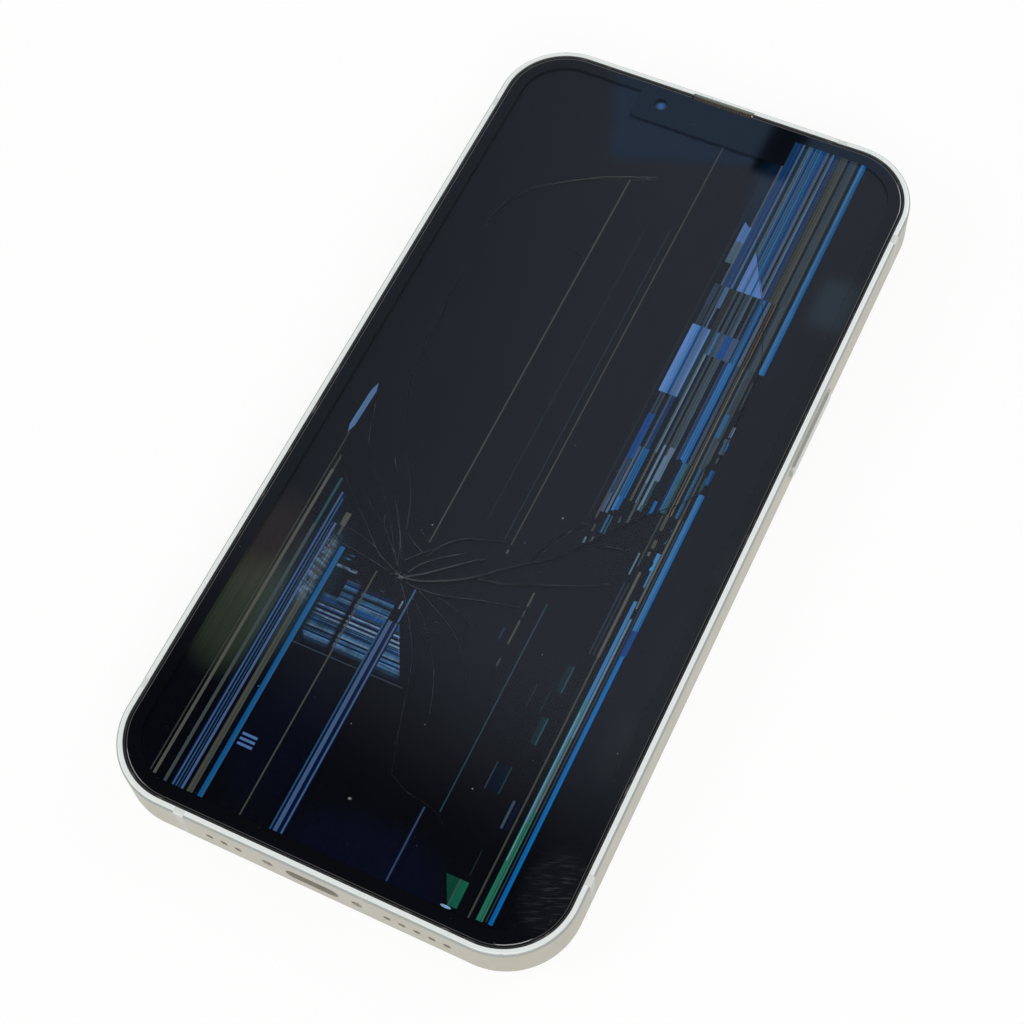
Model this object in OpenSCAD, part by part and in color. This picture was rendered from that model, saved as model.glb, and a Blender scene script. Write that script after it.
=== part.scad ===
// A slab phone with a cracked cover glass, lying screen up.
// Origin: middle of the footprint, on the surface that the lens rings touch.
// +Y points to the end with the earpiece, +Z out of the screen.
// The side rails, covers and display stack are set out from the body's own edges, and the modules
// inside take their places from the walls, so a change of body size carries them along.

/* [Body] */
// Width of the body over the side rails
body_w = 71.5; // [66:0.1:86]
// Length of the body
body_l = 146.7; // [122:0.1:178]
// Thickness of the body, without the camera bump
body_t = 7.8; // [7.6:0.1:9.5]
// Radius of the body's corners seen from the front
corner_r = 11.3; // [10:0.1:13.6]
// Width of the metal rim that shows round the display
rim_w = 0.95; // [0.8:0.05:1.2]
// Thickness of the rail behind the rim, down to its inner face
wall_t = 2.3; // [2.2:0.1:2.8]
// Rounding of the rail's outer edges
edge_r = 0.45; // [0.3:0.05:0.6]
// Width of the plastic antenna splits in the rails
split_w = 1.6; // [1:0.1:2]
// Distance from the body's end to a split in the long rails
split_from_end = 15.35; // [14:0.05:20]
// Distance from the body's side to the split in each short rail
split_from_side = 14.95; // [13:0.05:18]
// Play between pieces that sit against each other
fit_gap = 0.05; // [0.03:0.01:0.08]

/* [Covers and display] */
// Thickness of the front cover glass
glass_t = 0.75; // [0.6:0.05:1]
// Rounding of the cover glass's upper edge
glass_edge_r = 0.4; // [0.2:0.05:0.5]
// Width of the black plastic bezel that shows round the glass
bezel_w = 0.3; // [0.2:0.05:0.5]
// Thickness of the light-making panel
panel_t = 0.35; // [0.3:0.05:0.6]
// Distance from the body's edge to the panel
panel_inset = 3.05; // [3:0.05:4]
// Thickness of the metal plate behind the panel
display_plate_t = 0.2; // [0.15:0.05:0.3]
// Width of the crack grooves at the point of impact
crack_w = 0.2; // [0.12:0.01:0.26]
// Depth of the crack grooves
crack_depth = 0.25; // [0.1:0.05:0.4]
// Thickness of the back glass
back_glass_t = 0.75; // [0.6:0.05:0.9]
// Thickness of the plate between the back glass and the modules
mid_plate_t = 0.5; // [0.4:0.05:0.6]

/* [Camera bump] */
// Height of the raised camera field
bump_h = 1; // [0.8:0.1:1.4]
// How far a lens ring stands out of the raised field
ring_h = 1.1; // [0.8:0.1:1.4]
// Outer radius of a lens ring
lens_ring_r = 6.2; // [5.1:0.01:7.5]
// Distance between the two lens rings
lens_gap = 2.4; // [1.6:0.1:3]
// Distance from the lens rings to the edge of the raised field
bump_margin = 2.3; // [1.6:0.1:3]
// Distance from the upper lens to the middle of the flash
flash_offset = 11.7; // [9.6:0.1:13]
// Radius of the flash window
flash_r = 2.6; // [2:0.1:3]

/* [Bottom edge] */
// Width of the charging port's mouth
port_w = 8.3; // [6.9:0.01:10]
// Height of the charging port's mouth
port_h = 2.6; // [2.2:0.1:3]
// Radius of the microphone and speaker holes
hole_r = 0.6; // [0.5:0.05:0.8]
// Distance between neighbouring holes
hole_pitch = 2.3; // [2:0.01:2.8]
// Distance from the port's side to the middle of each base screw
screw_from_port = 2.9; // [2.4:0.05:3.5]
// Distance from each base screw to the nearest hole
hole_from_screw = 4.7; // [3.9:0.05:5.6]
// Depth of the zone that holds the haptic motor, port and loudspeaker
bottom_zone = 17.5; // [16:0.5:20]

/* [Buttons and tray] */
// Height of the button caps across the rail
button_w = 2.9; // [2.4:0.1:3.5]
// How far the button caps stand out of the rail
button_proud = 0.4; // [0.3:0.05:0.6]
// How far a button travels when pressed
button_travel = 0.25; // [0.2:0.05:0.3]
// Length of the side button
side_button_l = 16.3; // [13.5:0.01:19.6]
// Length of each volume button
volume_button_l = 10.2; // [8.5:0.01:12.3]
// Distance from the body's top end to the middle of the side button
side_button_from_end = 51.65; // [48:0.05:56]
// Distance from the body's top end to the middle of the ring switch
ring_switch_from_end = 33.2; // [32:0.05:34]
// Distance from the body's top end to the middle of the volume up button
volume_up_from_end = 46.4; // [45:0.05:48]
// Distance between the two volume buttons
volume_gap = 2.9; // [2.4:0.1:4]
// Distance that the ring switch slides across the rail
ring_travel = 1.3; // [1:0.1:1.4]
// Distance from the body's top end to the middle of the card tray
tray_from_end = 79.35; // [78:0.05:84]
// Length of the card tray's face on the rail
tray_face_l = 14; // [13.6:0.1:15]
// Height of the card tray's face on the rail
tray_face_w = 2.4; // [2.2:0.1:2.6]

/* [Inside] */
// Width of the logic board
board_w = 20; // [19.5:0.5:21]
// Thickness of each circuit board
board_t = 0.6; // [0.5:0.1:0.8]
// Height of the frame between the two circuit boards
interposer_h = 1.1; // [1:0.1:1.3]
// Height of the metal shields on the upper board
shield_h = 1.2; // [1:0.1:1.3]
// Room left along each side rail for switches and ribbons
side_room = 2.4; // [2:0.1:3]
// Room between the battery and its neighbours
battery_room = 0.8; // [0.6:0.1:1.2]
// Outer radius of the charging coil
coil_r = 22.5; // [18.5:0.5:27]

/* [Hidden] */
$fn = 96;
eps = 0.01;

// Heights above the surface, from the back to the screen
back_z = bump_h + ring_h;
top_z = back_z + body_t;
mid_z = back_z + body_t / 2;
back_inner_z = back_z + back_glass_t;
glue_t = 0.1;
seat_back_z = back_inner_z + glue_t;
mid_plate_z = seat_back_z + fit_gap;
plate_top_z = mid_plate_z + mid_plate_t;
inside_z = plate_top_z + glue_t;
glass_z = top_z - glass_t;
panel_z = glass_z - fit_gap - panel_t;
display_plate_z = panel_z - fit_gap - display_plate_t;
seat_top_z = display_plate_z - 0.25;
roof_z = display_plate_z - 0.2;

// Distances in from the body's outline
display_inset = rim_w + fit_gap;
glass_inset = display_inset + bezel_w + fit_gap;
plate_inset = wall_t + fit_gap;

// Half sizes of the body and of the room inside its walls
half_w = body_w / 2;
half_l = body_l / 2;
in_x = half_w - wall_t;
in_y = half_l - wall_t;

// Places taken from the ends and sides
split_y = half_l - split_from_end;
split_x = half_w - split_from_side;
bump_r = 8;
microphone_r = 0.5;

// The camera bracket stands clear of the rail where its own corner meets the rail's round corner
lens_pitch = 2 * lens_ring_r + lens_gap;
camera_w = lens_pitch - 1.8;
camera_corner_r = 2;
bracket_wall = 0.35;
bracket_w = camera_w + 0.6 + 2 * bracket_wall;
bracket_l = bracket_w + lens_pitch;
bracket_r = camera_corner_r + bracket_wall;
bracket_inset = (1 - sqrt(0.5)) * (corner_r - wall_t - bracket_r) + 2 * fit_gap;
lens_x = in_x - bracket_inset - bracket_w / 2;
bump_y = in_y - bracket_inset - bracket_l / 2;
lens_ys = [bump_y + lens_pitch / 2, bump_y - lens_pitch / 2];
flash_x = lens_x - flash_offset;

// The raised field reaches past the lens rings on three sides and past the flash on the fourth
bump_x1 = lens_x + lens_ring_r + bump_margin;
bump_x0 = flash_x - flash_r - bump_margin;
bump_w = bump_x1 - bump_x0;
bump_l = lens_pitch + 2 * (lens_ring_r + bump_margin);
bump_y0 = bump_y - bump_l / 2;
side_button_y = half_l - side_button_from_end;
ring_switch_y = half_l - ring_switch_from_end;
volume_ys = [half_l - volume_up_from_end, half_l - volume_up_from_end - volume_button_l - volume_gap];
tray_y = half_l - tray_from_end;
bottom_zone_y = -in_y + bottom_zone;

// Earpiece slot between the glass and the top rail
slot_l = 10.8;
slot_y0 = half_l - glass_inset - 0.66;
slot_y1 = half_l - rim_w + 0.25;

// Pockets behind the buttons, and the button flanges in them
flange_extra = 0.8;
pocket_extra = 1.1;
flange_t = 0.4;
flange_x = rim_w + fit_gap;
nub_l = 0.3;

// Board and battery bays
board_x0 = -in_x + side_room;
board_x1 = board_x0 + board_w;
board_y1 = in_y - 7.5;
board_y0 = tray_y - 10;
upper_board_y0 = tray_y + 10;
upper_board_z = inside_z + board_t + interposer_h;
upper_top_z = upper_board_z + board_t;
battery_x0 = board_x1 + battery_room;
battery_x1 = in_x - side_room;
battery_y0 = bottom_zone_y + battery_room;
battery_y1 = bump_y0 - 1.4;
battery_leg_y1 = board_y0 - battery_room;
battery_z = inside_z + glue_t + fit_gap;
battery_t = roof_z - 0.35 - battery_z;

// Card tray and reader
tray_z = mid_z;
tray_body_w = 10.4;
tray_depth = 16.2;
tray_face_t = 1.2;
tray_plate_t = 0.8;
card_w = 8.8;
card_l = 12.3;
card_t = 0.67;
pin_hole_r = 0.45;
pin_hole_y = tray_y - tray_face_l / 2 + 1.05;
reader_wall = 0.25;
reader_w = tray_body_w + 2 * (fit_gap + reader_wall);

// Sensors behind the glass at the top end
sensor_y = min(in_y - 2.75, half_l - panel_inset - 1.4);
sensor_w = 5.2;
sensor_pitch = 6.4;
sensor_eye_z = glass_z - 0.15;
notch_w = 3 * sensor_pitch + 7.8;
notch_y = sensor_y - 3.4;
notch_r = 2;
duct_h = 1.1;
sensor_z = inside_z + duct_h + 0.3;
sensor_top_z = display_plate_z - 0.2;

// Haptic motor, loudspeaker and port
base_screw_x = port_w / 2 + screw_from_port;
first_hole_x = base_screw_x + hole_from_screw;
haptic_x0 = -in_x + side_room;
haptic_l = -base_screw_x - 2 - haptic_x0;
haptic_w = bottom_zone - 4.9;
haptic_wall = 0.3;
haptic_travel = 0.5;
haptic_y0 = bottom_zone_y - 0.5 - haptic_w;
haptic_z = inside_z + 0.25;
haptic_h = roof_z - 0.3 - haptic_z;
speaker_x1 = in_x - side_room;
speaker_x0 = base_screw_x + 1.6;
speaker_y0 = -in_y + 1.6;
speaker_y1 = bottom_zone_y - 0.5;
port_wall = 0.6;
port_depth = 11.5;
port_cavity = 7.2;

// Cracks: each has its share of the groove width at its wide end, then its points from that end
impact = [-9.1, -27.6];
CRACKS = [
    [1, [impact, [-7.2, -27.3], [-5, -26.5], [-1.5, -24.7], [1.3, -22.7], [3.7, -20.5], [6.8, -18],
        [9.4, -16], [12.3, -12.9], [15.1, -9.3], [18.2, -5.1], [21.3, -1.8], [23.2, 0], [25.8, 4.2]]],
    [0.5, [[25.9, 4.3], [25.6, 14], [25.5, 22], [25.1, 27], [23.6, 31.8], [21, 38], [18.8, 42.1],
        [16.1, 47.6], [14.8, 50.9]]],
    [0.7, [[1.3, -23.2], [5.3, -22.4], [8.7, -20.9], [11.9, -19.6], [16, -17.8], [19.2, -16.1]]],
    [0.6, [[-8.1, -28], [-6.8, -28.3], [-3.1, -28], [0, -27.2], [3.3, -26.2], [8.8, -24.9]]],
    [0.4, [[-2.6, -28.3], [0.6, -29.1], [3.9, -30.3]]],
    [0.55, [[-5.7, -28.5], [-2.8, -29.9], [0.2, -31.4], [3.1, -33.5], [5.5, -36.1], [7.2, -38.7], [8, -40]]],
    [0.4, [[-6, -30], [-3.5, -32], [-1.3, -34.4], [0.6, -36.9], [2.8, -40.6], [4.3, -44.8]]],
    [0.45, [[-8.6, -28.6], [-6.6, -31], [-3.5, -35.4], [-1.5, -39], [0, -43.6], [1, -47.4],
        [2.3, -51.3], [3.6, -55.5]]],
    [0.6, [[3.7, -55.6], [6.9, -57], [9.9, -57.4], [12.7, -58.5], [14.6, -60.2]]],
    [1, [[-8.6, -27.3], [-6.1, -25.6], [-3.9, -23.7], [-0.9, -21.1], [1, -19.8]]],
    [0.8, [[-8.5, -26.4], [-7.4, -24.5], [-5, -22.2], [-2.9, -20.7]]],
    [0.7, [[-9.9, -24.9], [-8.1, -22.8], [-7.1, -21.7]]],
    [0.6, [[-7.1, -22.9], [-6.1, -20.7], [-4, -18.4], [-1.3, -17.2], [2.2, -16.1]]],
    [0.7, [[-8.1, -22.7], [-9.5, -22], [-10.9, -21.2], [-12, -20.4]]],
    [0.6, [[-12, -20.3], [-13.3, -16.5], [-14.9, -13.3], [-17.1, -9.8], [-19.8, -5.4], [-22.2, 0],
        [-23.7, 5.6], [-24.5, 14], [-25.3, 27.2]]],
    [0.5, [[-10.4, -26.3], [-12.1, -22.1], [-14.3, -18.3], [-15.8, -15.9]]],
    [0.45, [[-10.5, -26.2], [-12.3, -23.7], [-14.9, -19.9], [-18.4, -15.7], [-21.5, -12.8],
        [-24, -9.4], [-25.6, -5.2], [-27.4, 0]]],
    [0.35, [[-10.5, -24.9], [-12.9, -20.8], [-16, -16]]],
    [0.35, [[-12, -24.3], [-15, -21.4], [-19, -18.5], [-22, -14.8]]],
    [0.6, [impact, [-12.7, -26.1], [-14.9, -24.7], [-18.3, -21.5], [-21, -19.3], [-24.9, -15.5],
        [-27, -12.6], [-27.7, -8.6]]],
    [0.45, [[-14.9, -24.8], [-17.6, -23.9], [-20.4, -23.5]]],
    [0.4, [[-11.3, -27.5], [-14.9, -26.8], [-20.3, -26.1]]],
    [0.45, [[7.2, -17], [7.9, -14.7], [9.9, -10.8], [12.3, -8.5]]],
    [0.4, [[14.7, -11.5], [16.5, -10.6], [18.6, -10.1]]],
    [0.8, [[-9.2, -27.6], [-9.9, -27.4], [-10.9, -27.8]]],
    [0.6, [[-16, 48.6], [-21.5, 44.6], [-24.1, 41.1], [-25.4, 37.2], [-25.7, 34.3]]],
    [0.6, [[-16.1, 48.5], [-12.3, 50.8], [-9, 52.3], [-4.1, 54.3]]],
    [0.4, [[-10.5, 36.1], [-8.3, 34.8]]]
];

// ---------------------------------------------------------------- shared shapes

// Flat outline with four round corners
module rounded_outline(w, l, r) {
    square([w, l - 2 * r], center = true);
    square([w - 2 * r, l], center = true);
    for (sx = [-1, 1], sy = [-1, 1])
        translate([sx * (w / 2 - r), sy * (l / 2 - r)]) circle(r);
}

// The body's outline, taken in by a distance
module body_outline(inset) {
    rounded_outline(body_w - 2 * inset, body_l - 2 * inset, corner_r - inset);
}

// Plate with the body's outline
module body_plate(inset, z, t) {
    translate([0, 0, z]) linear_extrude(t) body_outline(inset);
}

// Ring between two insets of the body's outline
module body_ring(outer, inner, z, t) {
    difference() {
        body_plate(outer, z, t);
        body_plate(inner, z - 1, t + 2);
    }
}

// Carries a section round the body's outline: its x is the distance out from the outline, its y the height
module edge_sweep(inset) {
    w = body_w - 2 * inset;
    l = body_l - 2 * inset;
    r = corner_r - inset;
    for (turn = [0, 180]) rotate([0, 0, turn]) {
        translate([w / 2, l / 2 - r, 0]) rotate([90, 0, 0]) linear_extrude(l - 2 * r) children();
        translate([r - w / 2, l / 2, 0]) rotate([90, 0, 90]) linear_extrude(w - 2 * r) children();
        translate([w / 2 - r, l / 2 - r, 0])
            rotate_extrude(angle = 90) translate([r, 0]) children();
        translate([r - w / 2, l / 2 - r, 0])
            rotate([0, 0, 90]) rotate_extrude(angle = 90) translate([r, 0]) children();
    }
}

// Box with round corners seen from above, from its low corner
module soft_box(size, r) {
    translate([size[0] / 2, size[1] / 2, 0])
        linear_extrude(size[2]) rounded_outline(size[0], size[1], r);
}

// Outline with half-round ends, its length along x
module stadium(len, wid) {
    square([len - wid, wid], center = true);
    for (s = [-1, 1]) translate([s * (len - wid) / 2, 0]) circle(wid / 2);
}

// Stadium prism on the right rail: from depth d0 to d1 below the rail's outer face, length along y
module rail_stadium(y, z, len, wid, d0, d1) {
    translate([half_w - d1, y, z]) rotate([90, 0, 90]) linear_extrude(d1 - d0) stadium(len, wid);
}

// The same on the left rail
module left_rail_stadium(y, z, len, wid, d0, d1) {
    mirror([1, 0, 0]) rail_stadium(y, z, len, wid, d0, d1);
}

// Round bar on the right rail, from depth d0 to d1 below the rail's outer face
module rail_bar(y, z, r, d0, d1) {
    translate([half_w - d1, y, z]) rotate([0, 90, 0]) cylinder(h = d1 - d0, r = r);
}

// Round bar into the bottom rail, from depth d0 to d1 below its outer face
module base_bar(x, r, d0, d1) {
    translate([x, d1 - half_l, mid_z]) rotate([90, 0, 0]) cylinder(h = d1 - d0, r = r);
}

// Points of a smooth curve through p, with n steps between neighbours
function curve_point(p, i, t) =
    let (a = p[max(i - 1, 0)], b = p[i], c = p[i + 1], d = p[min(i + 2, len(p) - 1)])
    0.5 * (2 * b + (c - a) * t + (2 * a - 5 * b + 4 * c - d) * t * t
        + (3 * b - a - 3 * c + d) * t * t * t);
function curve(p, n) = concat(
    [for (i = [0 : len(p) - 2], k = [0 : n - 1]) curve_point(p, i, k / n)], [p[len(p) - 1]]);

// Flat outline of a crack, narrowing from its wide end to a point
module crack_outline(p, w) {
    q = curve(p, 3);
    last = len(q) - 1;
    side = [for (i = [0 : last - 1])
        let (d = q[i + 1] - q[max(i - 1, 0)], n = [-d[1], d[0]] / norm(d))
        n * w / 2 * (1 - 0.6 * i / last)];
    polygon(concat(
        [for (i = [0 : last - 1]) q[i] + side[i]],
        [q[last]],
        [for (i = [last - 1 : -1 : 0]) q[i] - side[i]]));
}

// ---------------------------------------------------------------- rails

module frame_section() {
    translate([-rim_w, back_z + edge_r]) square([rim_w, body_t - 2 * edge_r]);
    translate([-rim_w, back_z]) square([rim_w - edge_r, body_t]);
    for (z = [back_z + edge_r, top_z - edge_r]) translate([-edge_r, z]) circle(edge_r);
    translate([-wall_t, seat_back_z]) square([wall_t - rim_w + eps, seat_top_z - seat_back_z]);
}

// Everything that is cut through the rails
module rail_openings() {
    button_opening(side_button_y, side_button_l);
    mirror([1, 0, 0]) {
        for (y = volume_ys) button_opening(y, volume_button_l);
        button_opening(ring_switch_y, ring_slot_l(), ring_slot_w());
    }
    left_rail_stadium(tray_y, tray_z, tray_face_l + 2 * fit_gap, tray_face_w + 2 * fit_gap,
        -1, wall_t + 1);
    base_openings();
    translate([-slot_l / 2, in_y - 1, seat_back_z + 0.6])
        cube([slot_l, slot_y1 - in_y + 1, top_z]);
}

module button_opening(y, len, wid = button_w) {
    rail_stadium(y, mid_z, len + 2 * fit_gap, wid + 2 * fit_gap, -1, wall_t);
    pocket_l = len + pocket_extra;
    pocket_w = button_w + pocket_extra;
    translate([half_w - wall_t - 1, y - pocket_l / 2, mid_z - pocket_w / 2])
        cube([wall_t - rim_w + 1, pocket_l, pocket_w]);
}

// The earpiece slot, from height z up, taken in by a margin
module earpiece_slot(z, margin) {
    translate([margin - slot_l / 2, slot_y0 + margin, z])
        cube([slot_l - 2 * margin, slot_y1 - slot_y0 - 2 * margin, top_z + 1 - z]);
}

function hole_xs() = concat(
    [for (i = [0 : 2]) -first_hole_x - i * hole_pitch], [for (i = [0 : 4]) first_hole_x + i * hole_pitch]);

module base_openings() {
    for (x = hole_xs()) base_bar(x, hole_r, -1, wall_t + 1);
    for (s = [-1, 1]) {
        base_bar(s * base_screw_x, 0.85, -1, 1.15);
        base_bar(s * base_screw_x, 0.55, 0, wall_t + 1);
    }
    translate([0, wall_t + 1 - half_l, mid_z]) rotate([90, 0, 0])
        linear_extrude(wall_t + 2) stadium(port_w, port_h);
}

// Part of the ring of rails that lies in a box
module frame_part(low, high) {
    difference() {
        intersection() {
            edge_sweep(0) frame_section();
            translate([low[0], low[1], 0]) cube([high[0] - low[0], high[1] - low[1], top_z + 1]);
        }
        rail_openings();
    }
}

rail_end = split_y - split_w / 2;
corner_start = split_y + split_w / 2;
far_x = half_w + 5;
far_y = half_l + 5;
rail_tint = [0.80, 0.78, 0.72];

module frame_rail_left() {
    color(rail_tint) frame_part([-far_x, -rail_end], [-half_w / 2, rail_end]);
}

module frame_rail_right() {
    color(rail_tint) frame_part([half_w / 2, -rail_end], [far_x, rail_end]);
}

module frame_top_left() {
    color(rail_tint) frame_part([-far_x, corner_start], [split_x - split_w / 2, far_y]);
}

module frame_top_right() {
    color(rail_tint) frame_part([split_x + split_w / 2, corner_start], [far_x, far_y]);
}

module frame_bottom_left() {
    color(rail_tint) frame_part([-far_x, -far_y], [-split_x - split_w / 2, -corner_start]);
}

module frame_bottom_right() {
    color(rail_tint) frame_part([-split_x + split_w / 2, -far_y], [far_x, -corner_start]);
}

// Plastic that fills the six gaps between the rails
module antenna_splits() {
    color([0.78, 0.79, 0.78]) {
        for (sx = [-1, 1], sy = [-1, 1]) translate([sx * half_w, sy * split_y + split_w / 2, 0])
            mirror([sx < 0 ? 1 : 0, 0, 0]) rotate([90, 0, 0]) linear_extrude(split_w) frame_section();
        for (s = [-1, 1]) translate([s * split_x - split_w / 2, s * half_l, 0])
            mirror([0, s < 0 ? 1 : 0, 0]) rotate([90, 0, 90]) linear_extrude(split_w) frame_section();
    }
}

// ---------------------------------------------------------------- back

module mid_plate() {
    color("silver") difference() {
        body_plate(plate_inset, mid_plate_z, mid_plate_t);
        translate([0, 0, mid_plate_z - 1]) cylinder(h = mid_plate_t + 2, r = coil_r + 0.5);
        translate([bump_x0 + 1, bump_y0 + 1, mid_plate_z - 1])
            soft_box([bump_w - 2, bump_l - 2, mid_plate_t + 2], 3);
    }
}

module back_glass() {
    color([0.93, 0.91, 0.86]) difference() {
        union() {
            body_plate(display_inset, back_z + 0.3, back_glass_t - 0.3);
            body_plate(display_inset + 0.3, back_z, 0.4);
            translate([bump_x0, bump_y0, ring_h + 0.3]) soft_box([bump_w, bump_l, bump_h], bump_r);
            translate([bump_x0 + 0.3, bump_y0 + 0.3, ring_h])
                soft_box([bump_w - 0.6, bump_l - 0.6, 0.4], bump_r - 0.3);
        }
        for (y = lens_ys) translate([lens_x, y, 0])
            cylinder(h = back_inner_z + 1, r = lens_ring_r + fit_gap);
        translate([flash_x, lens_ys[0], 0]) cylinder(h = back_inner_z + 1, r = flash_r + fit_gap);
        translate([flash_x, bump_y, 0]) cylinder(h = back_inner_z + 1, r = microphone_r);
    }
}

module back_adhesive() {
    color("dimgray") body_ring(display_inset + 0.15, wall_t - 0.1, back_inner_z + 0.02, glue_t - 0.04);
}

// Ring that frames a rear lens, with a collar behind the back glass
module lens_ring(y) {
    color(rail_tint) translate([lens_x, y, 0]) difference() {
        union() {
            cylinder(h = back_inner_z + 0.3, r = lens_ring_r);
            translate([0, 0, back_inner_z + 0.03]) cylinder(h = 0.3, r = lens_ring_r + 0.6);
        }
        translate([0, 0, -1]) cylinder(h = back_inner_z + 2, r = lens_ring_r - 1.6);
        translate([0, 0, -1]) cylinder(h = 1.85, r = lens_ring_r - 1);
    }
}

module lens_glass(y) {
    color([0.05, 0.05, 0.07]) translate([lens_x, y, 0.2])
        cylinder(h = 0.62, r = lens_ring_r - 1 - fit_gap);
}

module lens_ring_upper() { lens_ring(lens_ys[0]); }
module lens_ring_lower() { lens_ring(lens_ys[1]); }
module lens_glass_upper() { lens_glass(lens_ys[0]); }
module lens_glass_lower() { lens_glass(lens_ys[1]); }

module flash_window() {
    color("ivory") translate([flash_x, lens_ys[0], ring_h + 0.1])
        cylinder(h = back_inner_z - ring_h - 0.2, r = flash_r);
}

// Microphone on its own small board, behind the hole in the camera field
module rear_microphone() {
    color("dimgray") translate([flash_x, bump_y, back_inner_z + 0.05]) {
        translate([-2.2, -1.7, 0]) cube([4.4, 3.4, 0.3]);
        translate([-1.6, -1.2, 0.3]) cube([3.2, 2.4, 1]);
    }
}

// ---------------------------------------------------------------- display

// Section of a sheet's border with a rounded upper edge, 4 mm wide
module glass_border() {
    translate([-4, glass_z]) square([4, glass_t - glass_edge_r]);
    translate([-4, glass_z]) square([4 - glass_edge_r, glass_t]);
    translate([-glass_edge_r, top_z - glass_edge_r]) intersection() {
        circle(glass_edge_r);
        square(glass_edge_r);
    }
}

module cover_glass() {
    color([0.02, 0.02, 0.03]) difference() {
        union() {
            body_plate(glass_inset + 3.5, glass_z, glass_t);
            edge_sweep(glass_inset) glass_border();
        }
        earpiece_slot(glass_z - 1, 0);
        translate([0, 0, top_z - crack_depth]) linear_extrude(1)
            for (crack = CRACKS) crack_outline(crack[1], crack_w * crack[0]);
    }
}

// Plastic frame round the glass, with a flange that carries its edge
module display_bezel() {
    color([0.03, 0.03, 0.03]) difference() {
        union() {
            body_ring(display_inset, glass_inset - fit_gap, glass_z - 0.1, glass_t - 0.05);
            body_ring(display_inset, panel_inset - fit_gap, seat_top_z + 0.2, glass_z - seat_top_z - 0.22);
        }
        earpiece_slot(0, 0);
    }
}

// Cut at the top end of the display, for the front sensors to look through
module notch(margin) {
    translate([0, notch_y - margin + half_l, display_plate_z - 1])
        linear_extrude(2) rounded_outline(notch_w + 2 * margin, body_l, notch_r);
}

module display_panel() {
    color([0.01, 0.01, 0.02]) difference() {
        body_plate(panel_inset, panel_z, panel_t);
        notch(0);
    }
}

module display_plate() {
    color("gray") difference() {
        body_plate(panel_inset + 0.3, display_plate_z, display_plate_t);
        notch(0.3);
    }
}

module display_gasket() {
    color([0.1, 0.1, 0.1]) difference() {
        body_ring(display_inset + 0.1, wall_t - 0.1, seat_top_z + 0.02, 0.15);
        earpiece_slot(0, 0);
    }
}

// Ribbon from the display to its connector on the upper board
flex_x = board_x0 + 3;
flex_w = 8;
flex_y = upper_board_y0 + 8;
flex_drop_z = upper_top_z + 0.75;

module display_flex() {
    color([0.6, 0.35, 0.1]) {
        translate([flex_x, flex_y, roof_z + 0.04]) cube([flex_w, 16, 0.12]);
        translate([flex_x, flex_y, flex_drop_z]) cube([flex_w, 0.12, roof_z + 0.1 - flex_drop_z]);
        translate([flex_x, flex_y - 2.6, flex_drop_z]) cube([flex_w, 2.7, 0.12]);
        translate([flex_x + 0.6, flex_y - 2.4, upper_top_z + 0.05])
            cube([flex_w - 1.2, 2.1, flex_drop_z - upper_top_z]);
    }
}

// ---------------------------------------------------------------- earpiece and front sensors

// Perforated strip in the earpiece slot
module earpiece_mesh() {
    color("gray") difference() {
        translate([0, 0, top_z - 0.65 - 0.25]) linear_extrude(0.25)
            translate([0, (slot_y0 + slot_y1) / 2])
                square([slot_l - 2 * fit_gap, slot_y1 - slot_y0 - 2 * fit_gap], center = true);
        for (i = [-10 : 10], row = [0 : 2])
            translate([0.48 * i, (slot_y0 + slot_y1) / 2 + (row - 1) * 0.34, top_z - 2])
                cylinder(h = 2, r = 0.12, $fn = 24);
    }
}

// Sound box below the sensors, with a flat duct that rises to the slot
module earpiece_speaker() {
    duct_w = 8;
    box_x0 = board_x1 + 3;
    box_w = 8 - box_x0;
    rise_y0 = slot_y0 + fit_gap;
    rise_t = slot_y1 - slot_y0 - 2 * fit_gap;
    color([0.15, 0.15, 0.16]) {
        difference() {
            translate([box_x0, sensor_y - 12.9, inside_z])
                soft_box([box_w, 9, roof_z - 0.5 - inside_z], 1.5);
            translate([box_x0 + 1.5, sensor_y - 11.5, roof_z - 0.9]) soft_box([box_w - 3, 6.2, 1], 1);
        }
        translate([-duct_w / 2, sensor_y - 4, inside_z]) cube([duct_w, rise_y0 - sensor_y + 4.1, duct_h]);
        difference() {
            translate([-duct_w / 2, rise_y0, inside_z]) cube([duct_w, rise_t, top_z - 1.05 - inside_z]);
            translate([-duct_w / 2 + 0.25, rise_y0 + 0.25, inside_z + 0.4])
                cube([duct_w - 0.5, rise_t - 0.5, top_z]);
        }
    }
}

// Square camera-like module with a barrel that looks out through the notch and the glass
module sensor_module(x, lens_r) {
    translate([x - sensor_w / 2, sensor_y - sensor_w / 2, sensor_z])
        cube([sensor_w, sensor_w, sensor_top_z - 0.5 - sensor_z]);
    translate([x, sensor_y, sensor_top_z - 0.5 - eps]) cylinder(h = 0.5 + eps, r = lens_r);
    translate([x, sensor_y, sensor_top_z - eps])
        cylinder(h = sensor_eye_z - sensor_top_z + eps, r = lens_r - 0.4);
}

module front_camera() {
    color([0.08, 0.08, 0.1]) sensor_module(-1.5 * sensor_pitch, 1.9);
}

// Infrared camera, flood lamp and dot projector on one carrier
module depth_sensor() {
    color([0.12, 0.1, 0.14]) {
        for (i = [-0.5, 0.5, 1.5]) sensor_module(i * sensor_pitch, 1.6);
        translate([-0.5 * sensor_pitch, sensor_y - sensor_w / 2, sensor_z])
            cube([2 * sensor_pitch, 1.2, 0.5]);
    }
}

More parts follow.
